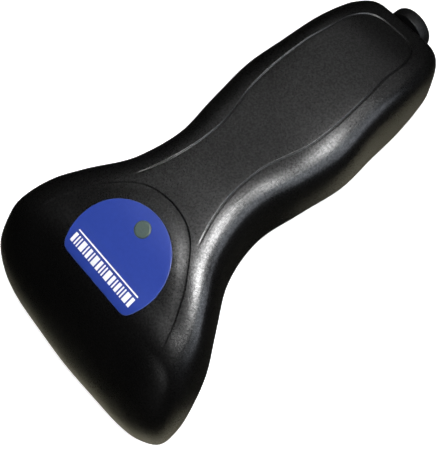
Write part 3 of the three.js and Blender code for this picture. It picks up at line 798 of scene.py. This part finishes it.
def refine_features(bm):
    """Halves the faces near the groove and the crease, then lays every point on the surface."""
    for reach, longest in FEATURE_BANDS:
        bm.verts.index_update()
        points = np.array([v.co[:] for v in bm.verts])
        skin = on_top_skin(points)
        near = in_batches(near_features, points)
        chosen = set()
        for face in bm.faces:
            corners = [v.index for v in face.verts]
            if skin[corners].all() and near[corners].min() < reach:
                chosen.update(e for e in face.edges if e.calc_length() > longest)
        bmesh.ops.subdivide_edges(bm, edges=list(chosen), cuts=1, use_grid_fill=True)
    verts = list(bm.verts)
    points = np.array([v.co[:] for v in verts])
    chosen = np.flatnonzero(on_top_skin(points))
    laid = in_batches(top_point, points[chosen, :2])
    for i, co in zip(chosen, laid):
        verts[i].co = co
    bmesh.ops.triangulate(bm, faces=[f for f in bm.faces if len(f.verts) > 4])


def top_shell_piece():
    """Top casing: crowned skin with its groove and crease, rounded lip and hollow inside."""
    outline, inner = plan_outline(), plan_outline(WALL)
    rings = [ring(outline, r, dome) for r in top_ratios(9, 16)[:-1]]
    rings += [ring(plan_outline(inset), 1, seam, GAP / 2 + lift) for inset, lift in LIP_ROUND]
    rings.append(ring(inner, 1, seam, GAP / 2))
    rings += [ring(inner, r, hollow_dome) for r in reversed(top_ratios(6, 8)[:-1])]
    obj = skinned("casing_top", rings, Matrix())
    bm = bmesh.new()
    bm.from_mesh(obj.data)
    bmesh.ops.remove_doubles(bm, verts=bm.verts, dist=WELD)
    bmesh.ops.recalc_face_normals(bm, faces=bm.faces)
    refine_features(bm)
    bm.to_mesh(obj.data)
    bm.free()
    obj.data.transform(LAY_DOWN)
    obj.data.update()
    bosses = combined([cylinder(x, y, float(parting(y)) - 2, float(crown(y)) - 3, BOSS)
                       for x, y in SHELL_SCREWS])
    carve(obj, [bosses], "UNION")
    pilots = [cylinder(x, y, float(parting(y)) - 5, float(parting(y)) + 9, BOSS_PILOT, 32)
              for x, y in SHELL_SCREWS]
    light = cylinder(0, LIGHT_Y, -6, 3, LIGHT_RADIUS + GAP, 48, ON_FACET)
    recess = draped("recess", badge_loop(BADGE_RADIUS + BADGE_FIT, BADGE_CHORD + BADGE_FIT),
                    [(0.2, -0.38), (0, -0.2), (0, 1.5)], BADGE_RINGS)
    carve(obj, [tidy(recess[0]), combined(pilots + [light]), gland_hole()])
    return tidy(obj, 58)


ARC_STEPS, CORNER_STEPS, FRONT_STEPS = 96, 6, 8


def badge_loop(radius, chord):
    """D outline: an arc closed by a straight front edge, with rounded corners."""
    corner = math.acos(chord / radius)
    trim = BADGE_CORNER / radius
    start, end = -math.pi / 2 + corner + trim, 1.5 * math.pi - corner - trim
    arc = [(radius * math.cos(a), radius * math.sin(a))
           for a in (start + (end - start) * k / ARC_STEPS for k in range(ARC_STEPS + 1))]
    half = radius * math.sin(corner)
    flat = half - BADGE_CORNER
    rounding = []
    for k in range(1, CORNER_STEPS):
        t = k / CORNER_STEPS
        rounding.append(((1 - t) ** 2 * arc[-1][0] - 2 * t * (1 - t) * half - t * t * flat,
                         (1 - t) ** 2 * arc[-1][1] - (2 * t * (1 - t) + t * t) * chord))
    front = [(flat * (2 * k / FRONT_STEPS - 1), -chord) for k in range(FRONT_STEPS + 1)]
    return arc + rounding + front + mirrored(rounding)


def draped(name, loop, levels, rings, at=(0, 0)):
    """Solid over a loop in the badge's plan that follows the casing's crown.

    Levels are (inset, lift above the casing) up its side; rings are the outline's copies, as
    shares of its size, that carry the curve across its underside and its top. Returns the
    object and the row of faces where its top begins.
    """
    sections = [(ratio, *levels[0]) for ratio in reversed(rings)]
    sections += [(1, *level) for level in levels]
    sections += [(ratio, *levels[-1]) for ratio in rings]
    u, v, lift = [], [], []
    for ratio, inset, height in sections:
        for x, y in inward(loop, inset) if inset else loop:
            u.append(at[0] + x * ratio)
            v.append(at[1] + y * ratio)
            lift.append(height)
    plan_y = FACET[0] + np.array(v) * math.cos(FACET[2])
    points = top_point(np.array(u), plan_y, np.array(lift))
    obj = new_object(name, [tuple(p) for p in points], grid_faces(len(sections), len(loop)))
    return obj, len(sections) - len(rings) - 1


def combined(objects):
    """One object holding several separate solids."""
    first = objects[0]
    bm = bmesh.new()
    for obj in objects:
        bm.from_mesh(obj.data)
    bmesh.ops.recalc_face_normals(bm, faces=bm.faces)
    bm.to_mesh(first.data)
    bm.free()
    for obj in objects[1:]:
        bpy.data.objects.remove(obj)
    return first


def gland_hole():
    """Cutter for the hole at the tail that the gland's neck sits in."""
    return cylinder(0, 0, 70, 100, GLAND_NECK + GAP, 64, ON_TAIL)


def below_jaw(mouth_wall, chin_wall):
    """Space below the head: outside the mouth plane and the chin plane, moved in by walls."""
    mc, ms = math.cos(MOUTH[2]), math.sin(MOUTH[2])
    cc, cs = math.cos(CHIN[2]), math.sin(CHIN[2])
    mouth = (MOUTH[0] + ms * mouth_wall, MOUTH[1] + mc * mouth_wall)
    chin = (CHIN[0] - cs * chin_wall, CHIN[1] + cc * chin_wall)
    reach = ((chin[0] - mouth[0]) * cs - (chin[1] - mouth[1]) * cc) / (mc * cs + ms * cc)
    lip = (mouth[0] + mc * reach, mouth[1] - ms * reach)
    front = (mouth[0] - mc * 30, mouth[1] + ms * 30)
    vertices, faces = plate([front, (front[0], -90), (chin[0], -90), chin, lip],
                            [(0, -70), (0, 70)])
    return combined([new_object("jaw", [(z, x, y) for x, y, z in vertices], faces)])


def bottom_volume(inset, lid_shift, rounded):
    """Everything between the parting surface and the underside, inside an inset."""
    def floor(y):
        return np.maximum(keel(y) + inset, keel(y + 0.8 * inset) + 0.6 * inset)

    def under(y, r):
        return parting(y) + (floor(y) - parting(y)) * (1 - r ** KEEL_ROUNDNESS) - GAP / 2

    outline = plan_outline(inset)
    rings = [ring(outline, 0, seam, lid_shift)]
    if rounded:
        rings.append(ring(plan_outline(0.5), 1, seam, lid_shift))
        rings += [ring(outline, r, under) for r in (0.9975, 0.992)]
    else:
        rings.append(ring(outline, 1, seam, lid_shift))
    rings += [ring(outline, 1 - (k / 16) ** 1.4, under) for k in range(1, 17)]
    return tidy(skinned("volume", rings))


def bottom_shell_piece():
    """Bottom casing: underside with the jaw, posts, screw wells, trigger slot and mouth."""
    obj = bottom_volume(0, -GAP / 2, True)
    obj.name = "casing_bottom"
    carve(obj, [below_jaw(0, 0)])
    hollow = carve(bottom_volume(WALL, 3, False), [below_jaw(MOUTH_WALL, WALL)])
    inside = carve(bottom_volume(0.6, 12, False), [below_jaw(0.6, 0.6)])
    carve(obj, [hollow])
    posts = [cylinder(x, y, 10, BOARD_Z - GAP, POST, 32) for x, y in BOARD_SCREWS]
    wells = [cylinder(x, y, -60, float(parting(y)) - 2 - GAP, WELL, 40) for x, y in SHELL_SCREWS]
    y0, z0 = PIVOT
    near, far = CHEEK_X
    cheeks = [box_solid((a, y0 - CHEEK_HALF, 0), (b, y0 + CHEEK_HALF, z0 + 3))
              for a, b in ((near, far), (-far, -near))]
    fittings = combined(posts + wells + cheeks)
    carve(fittings, [inside], "INTERSECT")
    carve(obj, [fittings], "UNION")
    heads = [cylinder(x, y, -70, float(parting(y)) - seat, HEAD_HOLE, 40)
             for (x, y), seat in zip(SHELL_SCREWS, SCREW_SEATS)]
    shanks = [cylinder(x, y, -69, float(parting(y)) + 0.5, SHANK_HOLE, 32)
              for x, y in SHELL_SCREWS]
    pilots = [cylinder(x, y, BOARD_Z - 5, BOARD_Z + 1, POST_PILOT, 24) for x, y in BOARD_SCREWS]
    pin_hole = cylinder(0, 0, -PIVOT_REACH, PIVOT_REACH, PIVOT_HOLE, 32, ON_PIVOT)
    mouth = new_object("mouth", *plate(rounded_rectangle(MOUTH_SIZE, 3), [(0, -4), (0, 8)]),
                       ON_MOUTH)
    y_front, y_rear, half = TRIGGER
    slot = box_solid((-half - 0.5, y_front - 0.6, -10), (half + 0.5, y_rear + 0.6, 26))
    label = box_solid(*LABEL_RECESS)
    table = box_solid((-80, -150, -80), (80, 150, 0), Matrix.Scale(MM, 4))
    carve(obj, [combined(heads), combined(shanks), combined(pilots), pin_hole, table, mouth,
                slot, label, gland_hole()])
    return shaded(obj)


# ---- casing, badge and light

finish_piece(top_shell_piece(), "casing", stands_for=("top_shell",))
finish_piece(bottom_shell_piece(), "casing", stands_for=("bottom_shell",))


def badge_piece():
    """Printed badge plate, curved with the crown, its face blue and its soft edge clear."""
    loop = badge_loop(BADGE_RADIUS, BADGE_CHORD)
    levels = [(0.2, -0.3), (0, -0.15), (0, 0), (0.05, 0.08), (0.13, 0.13), (0.25, 0.15)]
    obj, top_row = draped("badge_plate", loop, levels, BADGE_RINGS)
    obj.data.materials.append(LOOKS["badge_rim"])
    obj.data.materials.append(LOOKS["badge"])
    for face in obj.data.polygons:
        face.material_index = int(face.index >= top_row * len(loop))
    hole = cylinder(0, LIGHT_Y, -2, 2, LIGHT_RADIUS + 0.06, 64, ON_FACET)
    return tidy(carve(tidy(obj), [hole]), 40)


finish_piece(badge_piece(), "badge_rim", stands_for=("badge",))


SMALL_PART_ROUND = 0.2


def slabs(name, items, levels, corner, place=LAY_DOWN):
    """Thin rounded rectangles, each (x, y, width, height), as one object.

    The corner is a length, or None for a fixed share of the shorter side.
    """
    pieces = []
    for x, y, width, height in items:
        radius = min(width, height) * SMALL_PART_ROUND if corner is None else corner
        vertices, faces = plate(rounded_rectangle((width, height), radius, 2), levels)
        pieces.append(new_object(name, [(a + x, b + y, c) for a, b, c in vertices], faces, place))
    obj = combined(pieces)
    obj.name = name
    return tidy(obj)


# A plain row of upright bars of mixed widths under one rule, along the badge's straight edge.
MARK_WIDTHS = (1.3, 0.6, 0.6, 1.9, 0.6, 1.3, 0.6, 1.9, 1.3, 0.6, 0.6, 1.9, 1.3, 0.6, 1.3, 0.6, 0.6,
               1.9, 1.3)
MARK_GAP = 0.62
MARK_X, MARK_Y, MARK_HEIGHT = -0.3, -6.1, 3.5
RULE_Y, RULE_HEIGHT = -3.2, 0.5
MARK_LEVELS = [(0, 0.12), (0, 0.17), (0.02, 0.18)]
mark_length = sum(MARK_WIDTHS) + MARK_GAP * (len(MARK_WIDTHS) - 1)
bars, at = [(MARK_X, RULE_Y, mark_length, RULE_HEIGHT)], MARK_X - mark_length / 2
for width in MARK_WIDTHS:
    bars.append((at + width / 2, MARK_Y, width, MARK_HEIGHT))
    at += width + MARK_GAP
marks = combined([tidy(draped("badge_marks",
                              split_sides(rounded_rectangle((width, height), 0.1, 2), 0.5),
                              MARK_LEVELS, (0.75, 0.5, 0.25, 0), (x, y))[0])
                  for x, y, width, height in bars])
finish_piece(tidy(marks), "print")

guide = [(0, -4.4), (4.2, -4.4), (4.2, -3.3), (LIGHT_RADIUS, -3.3), (LIGHT_RADIUS, 0.12),
         (2.98, 0.24), (2.8, 0.33), (2.1, 0.38), (1.1, 0.4), (0, 0.4)]
light = lathe("light_lens", guide, 64, ON_FACET @ Matrix.Translation((0, LIGHT_Y, 0)))
finish_piece(light, "light", stands_for=("light_window",))

# ---- mouth


def bezel_piece():
    """Frame round the reading window: soft outer edge, bevelled inside, collar into the mouth."""
    outer, clear = rounded_rectangle(BEZEL_SIZE, 4), rounded_rectangle(CLEAR_SIZE, 2)
    collar = rounded_rectangle([s - 2 * GAP for s in MOUTH_SIZE], 2.7)
    rings = [(outer, 0, -GAP), (outer, 0, -0.75), (outer, 0.14, -1.03), (outer, 0.45, -1.2),
             (clear, -1.3, -1.2), (clear, -1.1, -1.12), (clear, -0.1, -0.1), (clear, 0, 0.1),
             (clear, 0, 2.4), (collar, 0.2, 2.4), (collar, 0, 2.2), (collar, 0, -GAP),
             (outer, 0, -GAP)]
    rings = [[(x, y, z) for x, y in inward(loop, inset)] for loop, inset, z in rings]
    return tidy(skinned("mouth_bezel", rings, ON_MOUTH))


finish_piece(bezel_piece(), "trim", stands_for=("window_bezel",))
window_levels = [(0.3, 2.7), (0, 2.9), (0, 4.5), (0.3, 4.7)]
window = new_object("reading_window", *plate(rounded_rectangle(WINDOW_SIZE, 2.5), window_levels),
                    ON_MOUTH)
finish_piece(tidy(window), "window", stands_for=("window",))

# ---- cable gland


def gland_piece():
    """Moulded collar with a flange inside the casing, a rounded rim and a funnelled bore."""
    tail, end = OUTLINE[-1][1], GLAND_END
    start = tail + GAP
    rim, neck, bore = GLAND_COLLAR, GLAND_NECK, GLAND_BORE
    flange = [(5.3, tail - 5.4), (5.5, tail - 5.2), (5.5, tail - 3.8), (5.3, tail - 3.6)]
    collar = [(neck, tail - 3.6), (neck, start), (rim - 0.5, start), (rim - 0.12, start + 0.14),
              (rim, start + 0.5), (rim, end - 1.6), (rim - 0.12, end - 0.95),
              (rim - 0.45, end - 0.4), (rim - 0.95, end - 0.08), (rim - 1.4, end)]
    funnel = [(bore + 1.2, end), (bore + 0.5, end - 0.2), (bore + 0.1, end - 0.8),
              (bore, end - 1.6)]
    foot = [(bore, tail - 5.4)]
    return lathe("cable_collar", foot + flange + collar + funnel + foot, 96, ON_TAIL, 40)


finish_piece(gland_piece(), "trim", stands_for=("cable_gland",))

# ---- screws

# Head radius, head height, thread radius, length under the head and pitch.
SCREWS = {"shell_screw": (2.6, 1.8, 1.15, 12, 0.9), "board_screw": (2.1, 1.5, 1, 5.5, 0.7)}


def screw_piece(name, kind, place):
    """Pan-head screw, pointing along +Z from its head's underside, with a cross recess."""
    head, height, radius, length, pitch = SCREWS[kind]
    profile = [(0, -height), (head * 0.45, -height), (head * 0.75, -height * 0.88),
               (head * 0.93, -height * 0.6), (head, -height * 0.3), (head, -0.1),
               (head - 0.1, 0), (radius, 0)]
    z, crest, root = 0.6, radius, radius * 0.78
    while z < length - 1.4:
        profile += [(root, z), (crest, z + pitch * 0.4), (crest, z + pitch * 0.5),
                    (root, z + pitch * 0.9)]
        z += pitch
    profile += [(root, length - 1), (radius * 0.35, length), (0, length)]
    obj = lathe(name, profile, 32, place)
    half = head * 0.5
    cross = [box_solid((-half, -0.28, -height - 1), (half, 0.28, -height * 0.45), place),
             box_solid((-0.28, -half, -height - 1), (0.28, half, -height * 0.45), place)]
    return tidy(carve(obj, cross), 35)


for i, (x, y) in enumerate(SHELL_SCREWS):
    seat = float(parting(y)) - SCREW_SEATS[i] - GAP
    place = placed((x, y, seat), 0.5 + i, "Z")
    piece = screw_piece(f"casing_screw_{i + 1}", "shell_screw", place)
    finish_piece(piece, "steel", stands_for=(f"shell_screw_{i + 1}",))
for i, (x, y) in enumerate(BOARD_SCREWS):
    place = placed((x, y, BOARD_TOP + GAP), 0.9 * i, "Z") @ Matrix.Rotation(math.pi, 4, "X")
    piece = screw_piece(f"pcb_screw_{i + 1}", "board_screw", place)
    finish_piece(piece, "steel", stands_for=(f"board_screw_{i + 1}",))

# ---- trigger


def resample(loop, count):
    """Closed loop of 2-D points spread evenly by length, starting where it starts."""
    points = np.array(loop + loop[:1])
    lengths = np.r_[0, np.cumsum(np.hypot(*np.diff(points, axis=0).T))]
    spots = np.linspace(0, lengths[-1], count, endpoint=False)
    return list(zip(*(np.interp(spots, lengths, row) for row in points.T)))


TRIGGER_STATIONS, TRIGGER_POINTS = 72, 36  # sections along the lever, and points to each
TRIGGER_SOFT = 1.1  # rounding of its lower edges
GRIPS = (-6, 10, 3.2, 0.32)  # finger grips: front y, rear y, pitch and depth


def trigger_piece():
    """Lever with rounded edges and shallow finger grips, and the lug its pin runs through."""
    y_front, y_rear, half = TRIGGER
    grip_front, grip_rear, pitch, depth = GRIPS
    vertices = []
    for i in range(TRIGGER_STATIONS + 1):
        t = i / TRIGGER_STATIONS
        y = y_front + (y_rear - y_front) * t
        bulge = max(math.sin(math.pi * t), 0) ** 0.5
        low, high = float(keel(y)) - TRIGGER_PROUD * bulge, float(keel(y)) + TRIGGER_THICK
        if grip_front < y < grip_rear:
            low += depth * (0.5 - 0.5 * math.cos(2 * math.pi * (y - grip_front) / pitch))
        edge = min(TRIGGER_SOFT, (high - low) * 0.4)
        corner = [(half - edge + edge * math.sin(a), low + edge - edge * math.cos(a))
                  for a in (math.radians(k) for k in range(0, 91, 15))]
        flat = [(half * k / 6, low) for k in range(6)]
        right = [p for p in flat if p[0] < half - edge - 0.2] + corner + [(half, high)]
        section = resample(right + mirrored(right[1:]), TRIGGER_POINTS)
        vertices += [(x, y, z) for x, z in section]
    obj = tidy(new_object("trigger_lever", vertices,
                          capped_faces(TRIGGER_STATIONS + 1, TRIGGER_POINTS)))
    lug = cylinder(0, 0, -half, half, 3, 40, ON_PIVOT)
    y0, z0 = PIVOT
    web = box_solid((-half, y0 - 2.2, float(keel(y0))), (half, y0 + 2.2, z0))
    carve(obj, [web, lug], "UNION")
    return tidy(carve(obj, [cylinder(0, 0, -20, 20, PIVOT_HOLE, 32, ON_PIVOT)]))


finish_piece(trigger_piece(), "rubbery", body="trigger", stands_for=("trigger",))


SPRING_STEPS = 28  # to each turn
CLOSED_END = 0.08  # share of the wire in each flat end turn


def spring_piece():
    """Wire coil from the lever up to the board, with closed end turns."""
    x, y, radius, wire, turns = SPRING
    low = float(keel(y)) + TRIGGER_THICK + GAP + wire
    high = BOARD_Z - GAP - wire
    steps, sides = turns * SPRING_STEPS, 10
    vertices = []
    for i in range(steps + 1):
        t = i / steps
        angle = 2 * math.pi * turns * t
        rise = low + (high - low) * min(max((t - CLOSED_END) / (1 - 2 * CLOSED_END), 0), 1)
        outward = Vector((math.cos(angle), math.sin(angle), 0))
        centre = Vector((x, y, rise)) + outward * radius
        vertices += [centre + outward * a + Vector((0, 0, b)) for a, b in circle(wire, sides)]
    return tidy(new_object("return_spring", vertices, capped_faces(steps + 1, sides))), low, high


spring, spring_low, spring_high = spring_piece()
spring.data.materials.append(LOOKS["steel"])
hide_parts("trigger_spring")
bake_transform(spring)

# ---- label

LABEL_MIDDLE, LABEL_FACE = 45, 25.6
UNDER_LABEL = placed((0, LABEL_MIDDLE, LABEL_FACE), math.pi, "Y")
LABEL_WIDTHS = (0.5, 0.3, 0.8, 0.3, 0.5, 0.5, 0.3, 0.8, 0.5, 0.3, 0.8, 0.3, 0.5, 0.3, 0.8, 0.5)
label_bars = [(0, 8.5, 12, 0.8), (0, -10.5, 12, 0.5)]
label_bars += [(-1.6, 6.4 - 1.2 * k, 9.2 - 1.7 * (k % 3), 0.4) for k in range(5)]
at = -6.5
for width in LABEL_WIDTHS:
    label_bars.append((at, -5.2, width, 6))
    at += width / 2 + 0.6
label_print = slabs("label_bars", label_bars, [(0, 0), (0.02, 0.012)], 0.1, UNDER_LABEL)
finish_piece(label_print, "ink")

# ---- inner parts

NODE_LOOKS = {
    "board": "main_board lamp_board sensor_board status_board",
    "can": "crystal capacitor_1 capacitor_2",
    "chip": "processor memory_chip buzzer trigger_switch sensor lens_barrel",
    "foam": "window_gasket",
    "glass": "lens",
    "inner": "light_hood optics_chassis",
    "label": "rating_label",
    "lamp": "status_led lamp_1 lamp_2 lamp_3 lamp_4 lamp_5 lamp_6 lamp_7 lamp_8",
    "mirror": "mirror",
    "nylon": "cable_header switch_plunger",
    "ribbon": "ribbon_cable",
    "steel": "mirror_clip_left mirror_clip_right trigger_pin",
}
CAD_SHARP = 35
for look, names in NODE_LOOKS.items():
    for name in names.split():
        shaded(nodes[name], CAD_SHARP)
        nodes[name].data.materials.clear()
        nodes[name].data.materials.append(LOOKS[look])


# Rows of chip leads: first x and y, step in x and y, how many, width and depth.
LEAD_ROWS = [(-7.8, 25, 0, 1.1, 12, 1.6, 0.5), (7.8, 25, 0, 1.1, 12, 1.6, 0.5),
             (-5.5, 23.2, 1.1, 0, 11, 0.5, 1.6), (-5.5, 38.8, 1.1, 0, 11, 0.5, 1.6),
             (8.8, 26.8, 0, 1.28, 6, 1.2, 0.5), (15.2, 26.8, 0, 1.28, 6, 1.2, 0.5)]
LEAD_LEVELS = [(0, BOARD_TOP), (0, BOARD_TOP + 0.27), (0.08, BOARD_TOP + 0.35)]
# Resistors and ceramic capacitors, which lie either way at random.
BLOCKS = [(-16.6, 17), (-16.6, 20), (-13, 20), (12, 17), (16, 19), (12, 38), (16, 40), (-13, 42),
          (-16, 45), (0, 42.5), (12.5, 56), (-12.5, 56), (16, 50), (-16, 51)]
BLOCK_LONG, BLOCK_SHORT = 2.0, 1.2
BLOCK_LEVELS = [(0, BOARD_TOP), (0, BOARD_TOP + 0.78), (0.12, BOARD_TOP + 0.9)]

leads = [(x + dx * k, y + dy * k, width, depth)
         for x, y, dx, dy, count, width, depth in LEAD_ROWS for k in range(count)]
rng = random.Random(7)
blocks = [(x, y, BLOCK_LONG, BLOCK_SHORT) if rng.random() < 0.5 else (x, y, BLOCK_SHORT, BLOCK_LONG)
          for x, y in BLOCKS]
finish_piece(slabs("chip_leads", leads, LEAD_LEVELS, None), "can")
finish_piece(slabs("board_components", blocks, BLOCK_LEVELS, None), "nylon")

# ---- floor and light


def area_light(name, direction, distance, size, power, color=(1, 1, 1), aim=(0, 0, 0.03),
               spread=180):
    """Soft light in a direction from the point it faces; its width runs along X."""
    data = bpy.data.lights.new(name, "AREA")
    data.shape = "RECTANGLE"
    data.size, data.size_y = size
    data.energy = power
    data.color = color
    data.spread = math.radians(spread)
    facing = toward(direction)
    height = facing.cross(Vector((1, 0, 0))).normalized()
    axes = Matrix((height.cross(facing), height, facing)).transposed()
    place = Matrix.Translation(Vector(aim) + facing * distance)
    linked(name, data).matrix_world = place @ axes.to_4x4()


FLOOR_REACH = 2.5
FLOOR_TONE = (0.8, 0.8, 0.79)
# Seen in reflections only, the floor is painted dark, as painted shade, with two pale patches of
# painted reflection on it; each is a centre, half-sizes and brightness.
FRONT_PAINTED_REFLECTION = ((0, -0.107, 0), (0.095, 0.045), 0.7)
TAIL_PAINTED_REFLECTION = ((0.03, 0.048, 0), (0.022, 0.048), 0.36)
PAINTED_REFLECTION_TONE = (0.8, 0.74, 0.54)
PAINTED_SHADE_IN_REFLECTION = 0.015
ROOM_LIGHT = 0.006
BACKDROP_LIGHT = 1.0
FLOOR_GLOW = 0.8

corners = ((-1, -1), (1, -1), (1, 1), (-1, 1))
floor = new_object("floor", [(x * FLOOR_REACH, y * FLOOR_REACH, 0) for x, y in corners],
                   [(0, 1, 2, 3)], Matrix())
paper = Nodes("pale_floor")
fibre = paper.noise(40, 4, 0.5)
seen_by = paper.add("ShaderNodeLightPath").outputs
sheet_tone = paper.mix(fibre, FLOOR_TONE, tuple(1.02 * c for c in FLOOR_TONE))


def painted_reflection_patch(centre, half, bright):
    """Soft-edged oval patch of painted reflection on the floor, from its brightness in the middle
    down to nothing.
    """
    offset = paper.add("ShaderNodeVectorMath", {0: paper.coordinates, 1: centre},
                       operation="SUBTRACT").outputs["Vector"]
    scaled = paper.add("ShaderNodeVectorMath", {0: offset, 1: (1 / half[0], 1 / half[1], 0)},
                       operation="MULTIPLY").outputs["Vector"]
    away = paper.add("ShaderNodeVectorMath", {0: scaled}, operation="LENGTH").outputs["Value"]
    return paper.ramp(away, bright, 0, 0.5, 1.1)


# Painted reflection and painted shade: the floor's colour for glossy rays is dark with pale
# patches.
painted_patches = paper.math("MAXIMUM", painted_reflection_patch(*FRONT_PAINTED_REFLECTION), painted_reflection_patch(*TAIL_PAINTED_REFLECTION))
reflected = paper.mix(paper.math("MAXIMUM", painted_patches, PAINTED_SHADE_IN_REFLECTION), (0, 0, 0), PAINTED_REFLECTION_TONE)
paper.surface(Base_Color=paper.mix(seen_by["Is Glossy Ray"], sheet_tone, reflected),
              Roughness=0.9, Specular_IOR_Level=0.1, Emission_Color=(1, 1, 1),
              Emission_Strength=paper.math("MULTIPLY", seen_by["Is Camera Ray"], FLOOR_GLOW))
# From below the floor lets the eye through, so that the underside can be looked at.
from_below = paper.add("ShaderNodeNewGeometry").outputs["Backfacing"]
clear = paper.add("ShaderNodeBsdfTransparent").outputs["BSDF"]
one_way = paper.add("ShaderNodeMixShader", {0: from_below, 1: paper.shader.outputs["BSDF"],
                                            2: clear}).outputs["Shader"]
paper.put(one_way, paper.tree.nodes["Material Output"].inputs["Surface"])
floor.data.materials.append(paper.block)

area_light("key_soft", (59, 64.5), 0.49, (0.34, 0.16), 0.275, aim=(0.024, -0.026, 0.045),
           spread=44)
area_light("sky_soft", (79, 70), 0.95, (1.5, 1.0), 0.6, (0.98, 0.98, 0.95))
area_light("edge_soft", (30, 36), 1.1, (0.6, 0.4), 1.6, (0.85, 0.92, 1))
area_light("back_soft", (90, 30), 1.3, (1.8, 0.9), 1.6)
area_light("right_soft", (26, 11), 1.1, (0.6, 0.5), 1.6, (0.85, 0.9, 1))
area_light("front_fill", (-77, 27), 1.2, (0.5, 0.5), 0.25)

room = Nodes("studio", bpy.data.worlds, "Background")
in_view = room.add("ShaderNodeLightPath").outputs["Is Camera Ray"]
scene.world = room.surface(Color=(1, 1, 1),
                           Strength=room.ramp(in_view, ROOM_LIGHT, BACKDROP_LIGHT, 0, 1))
scene.view_settings.view_transform = "Standard"
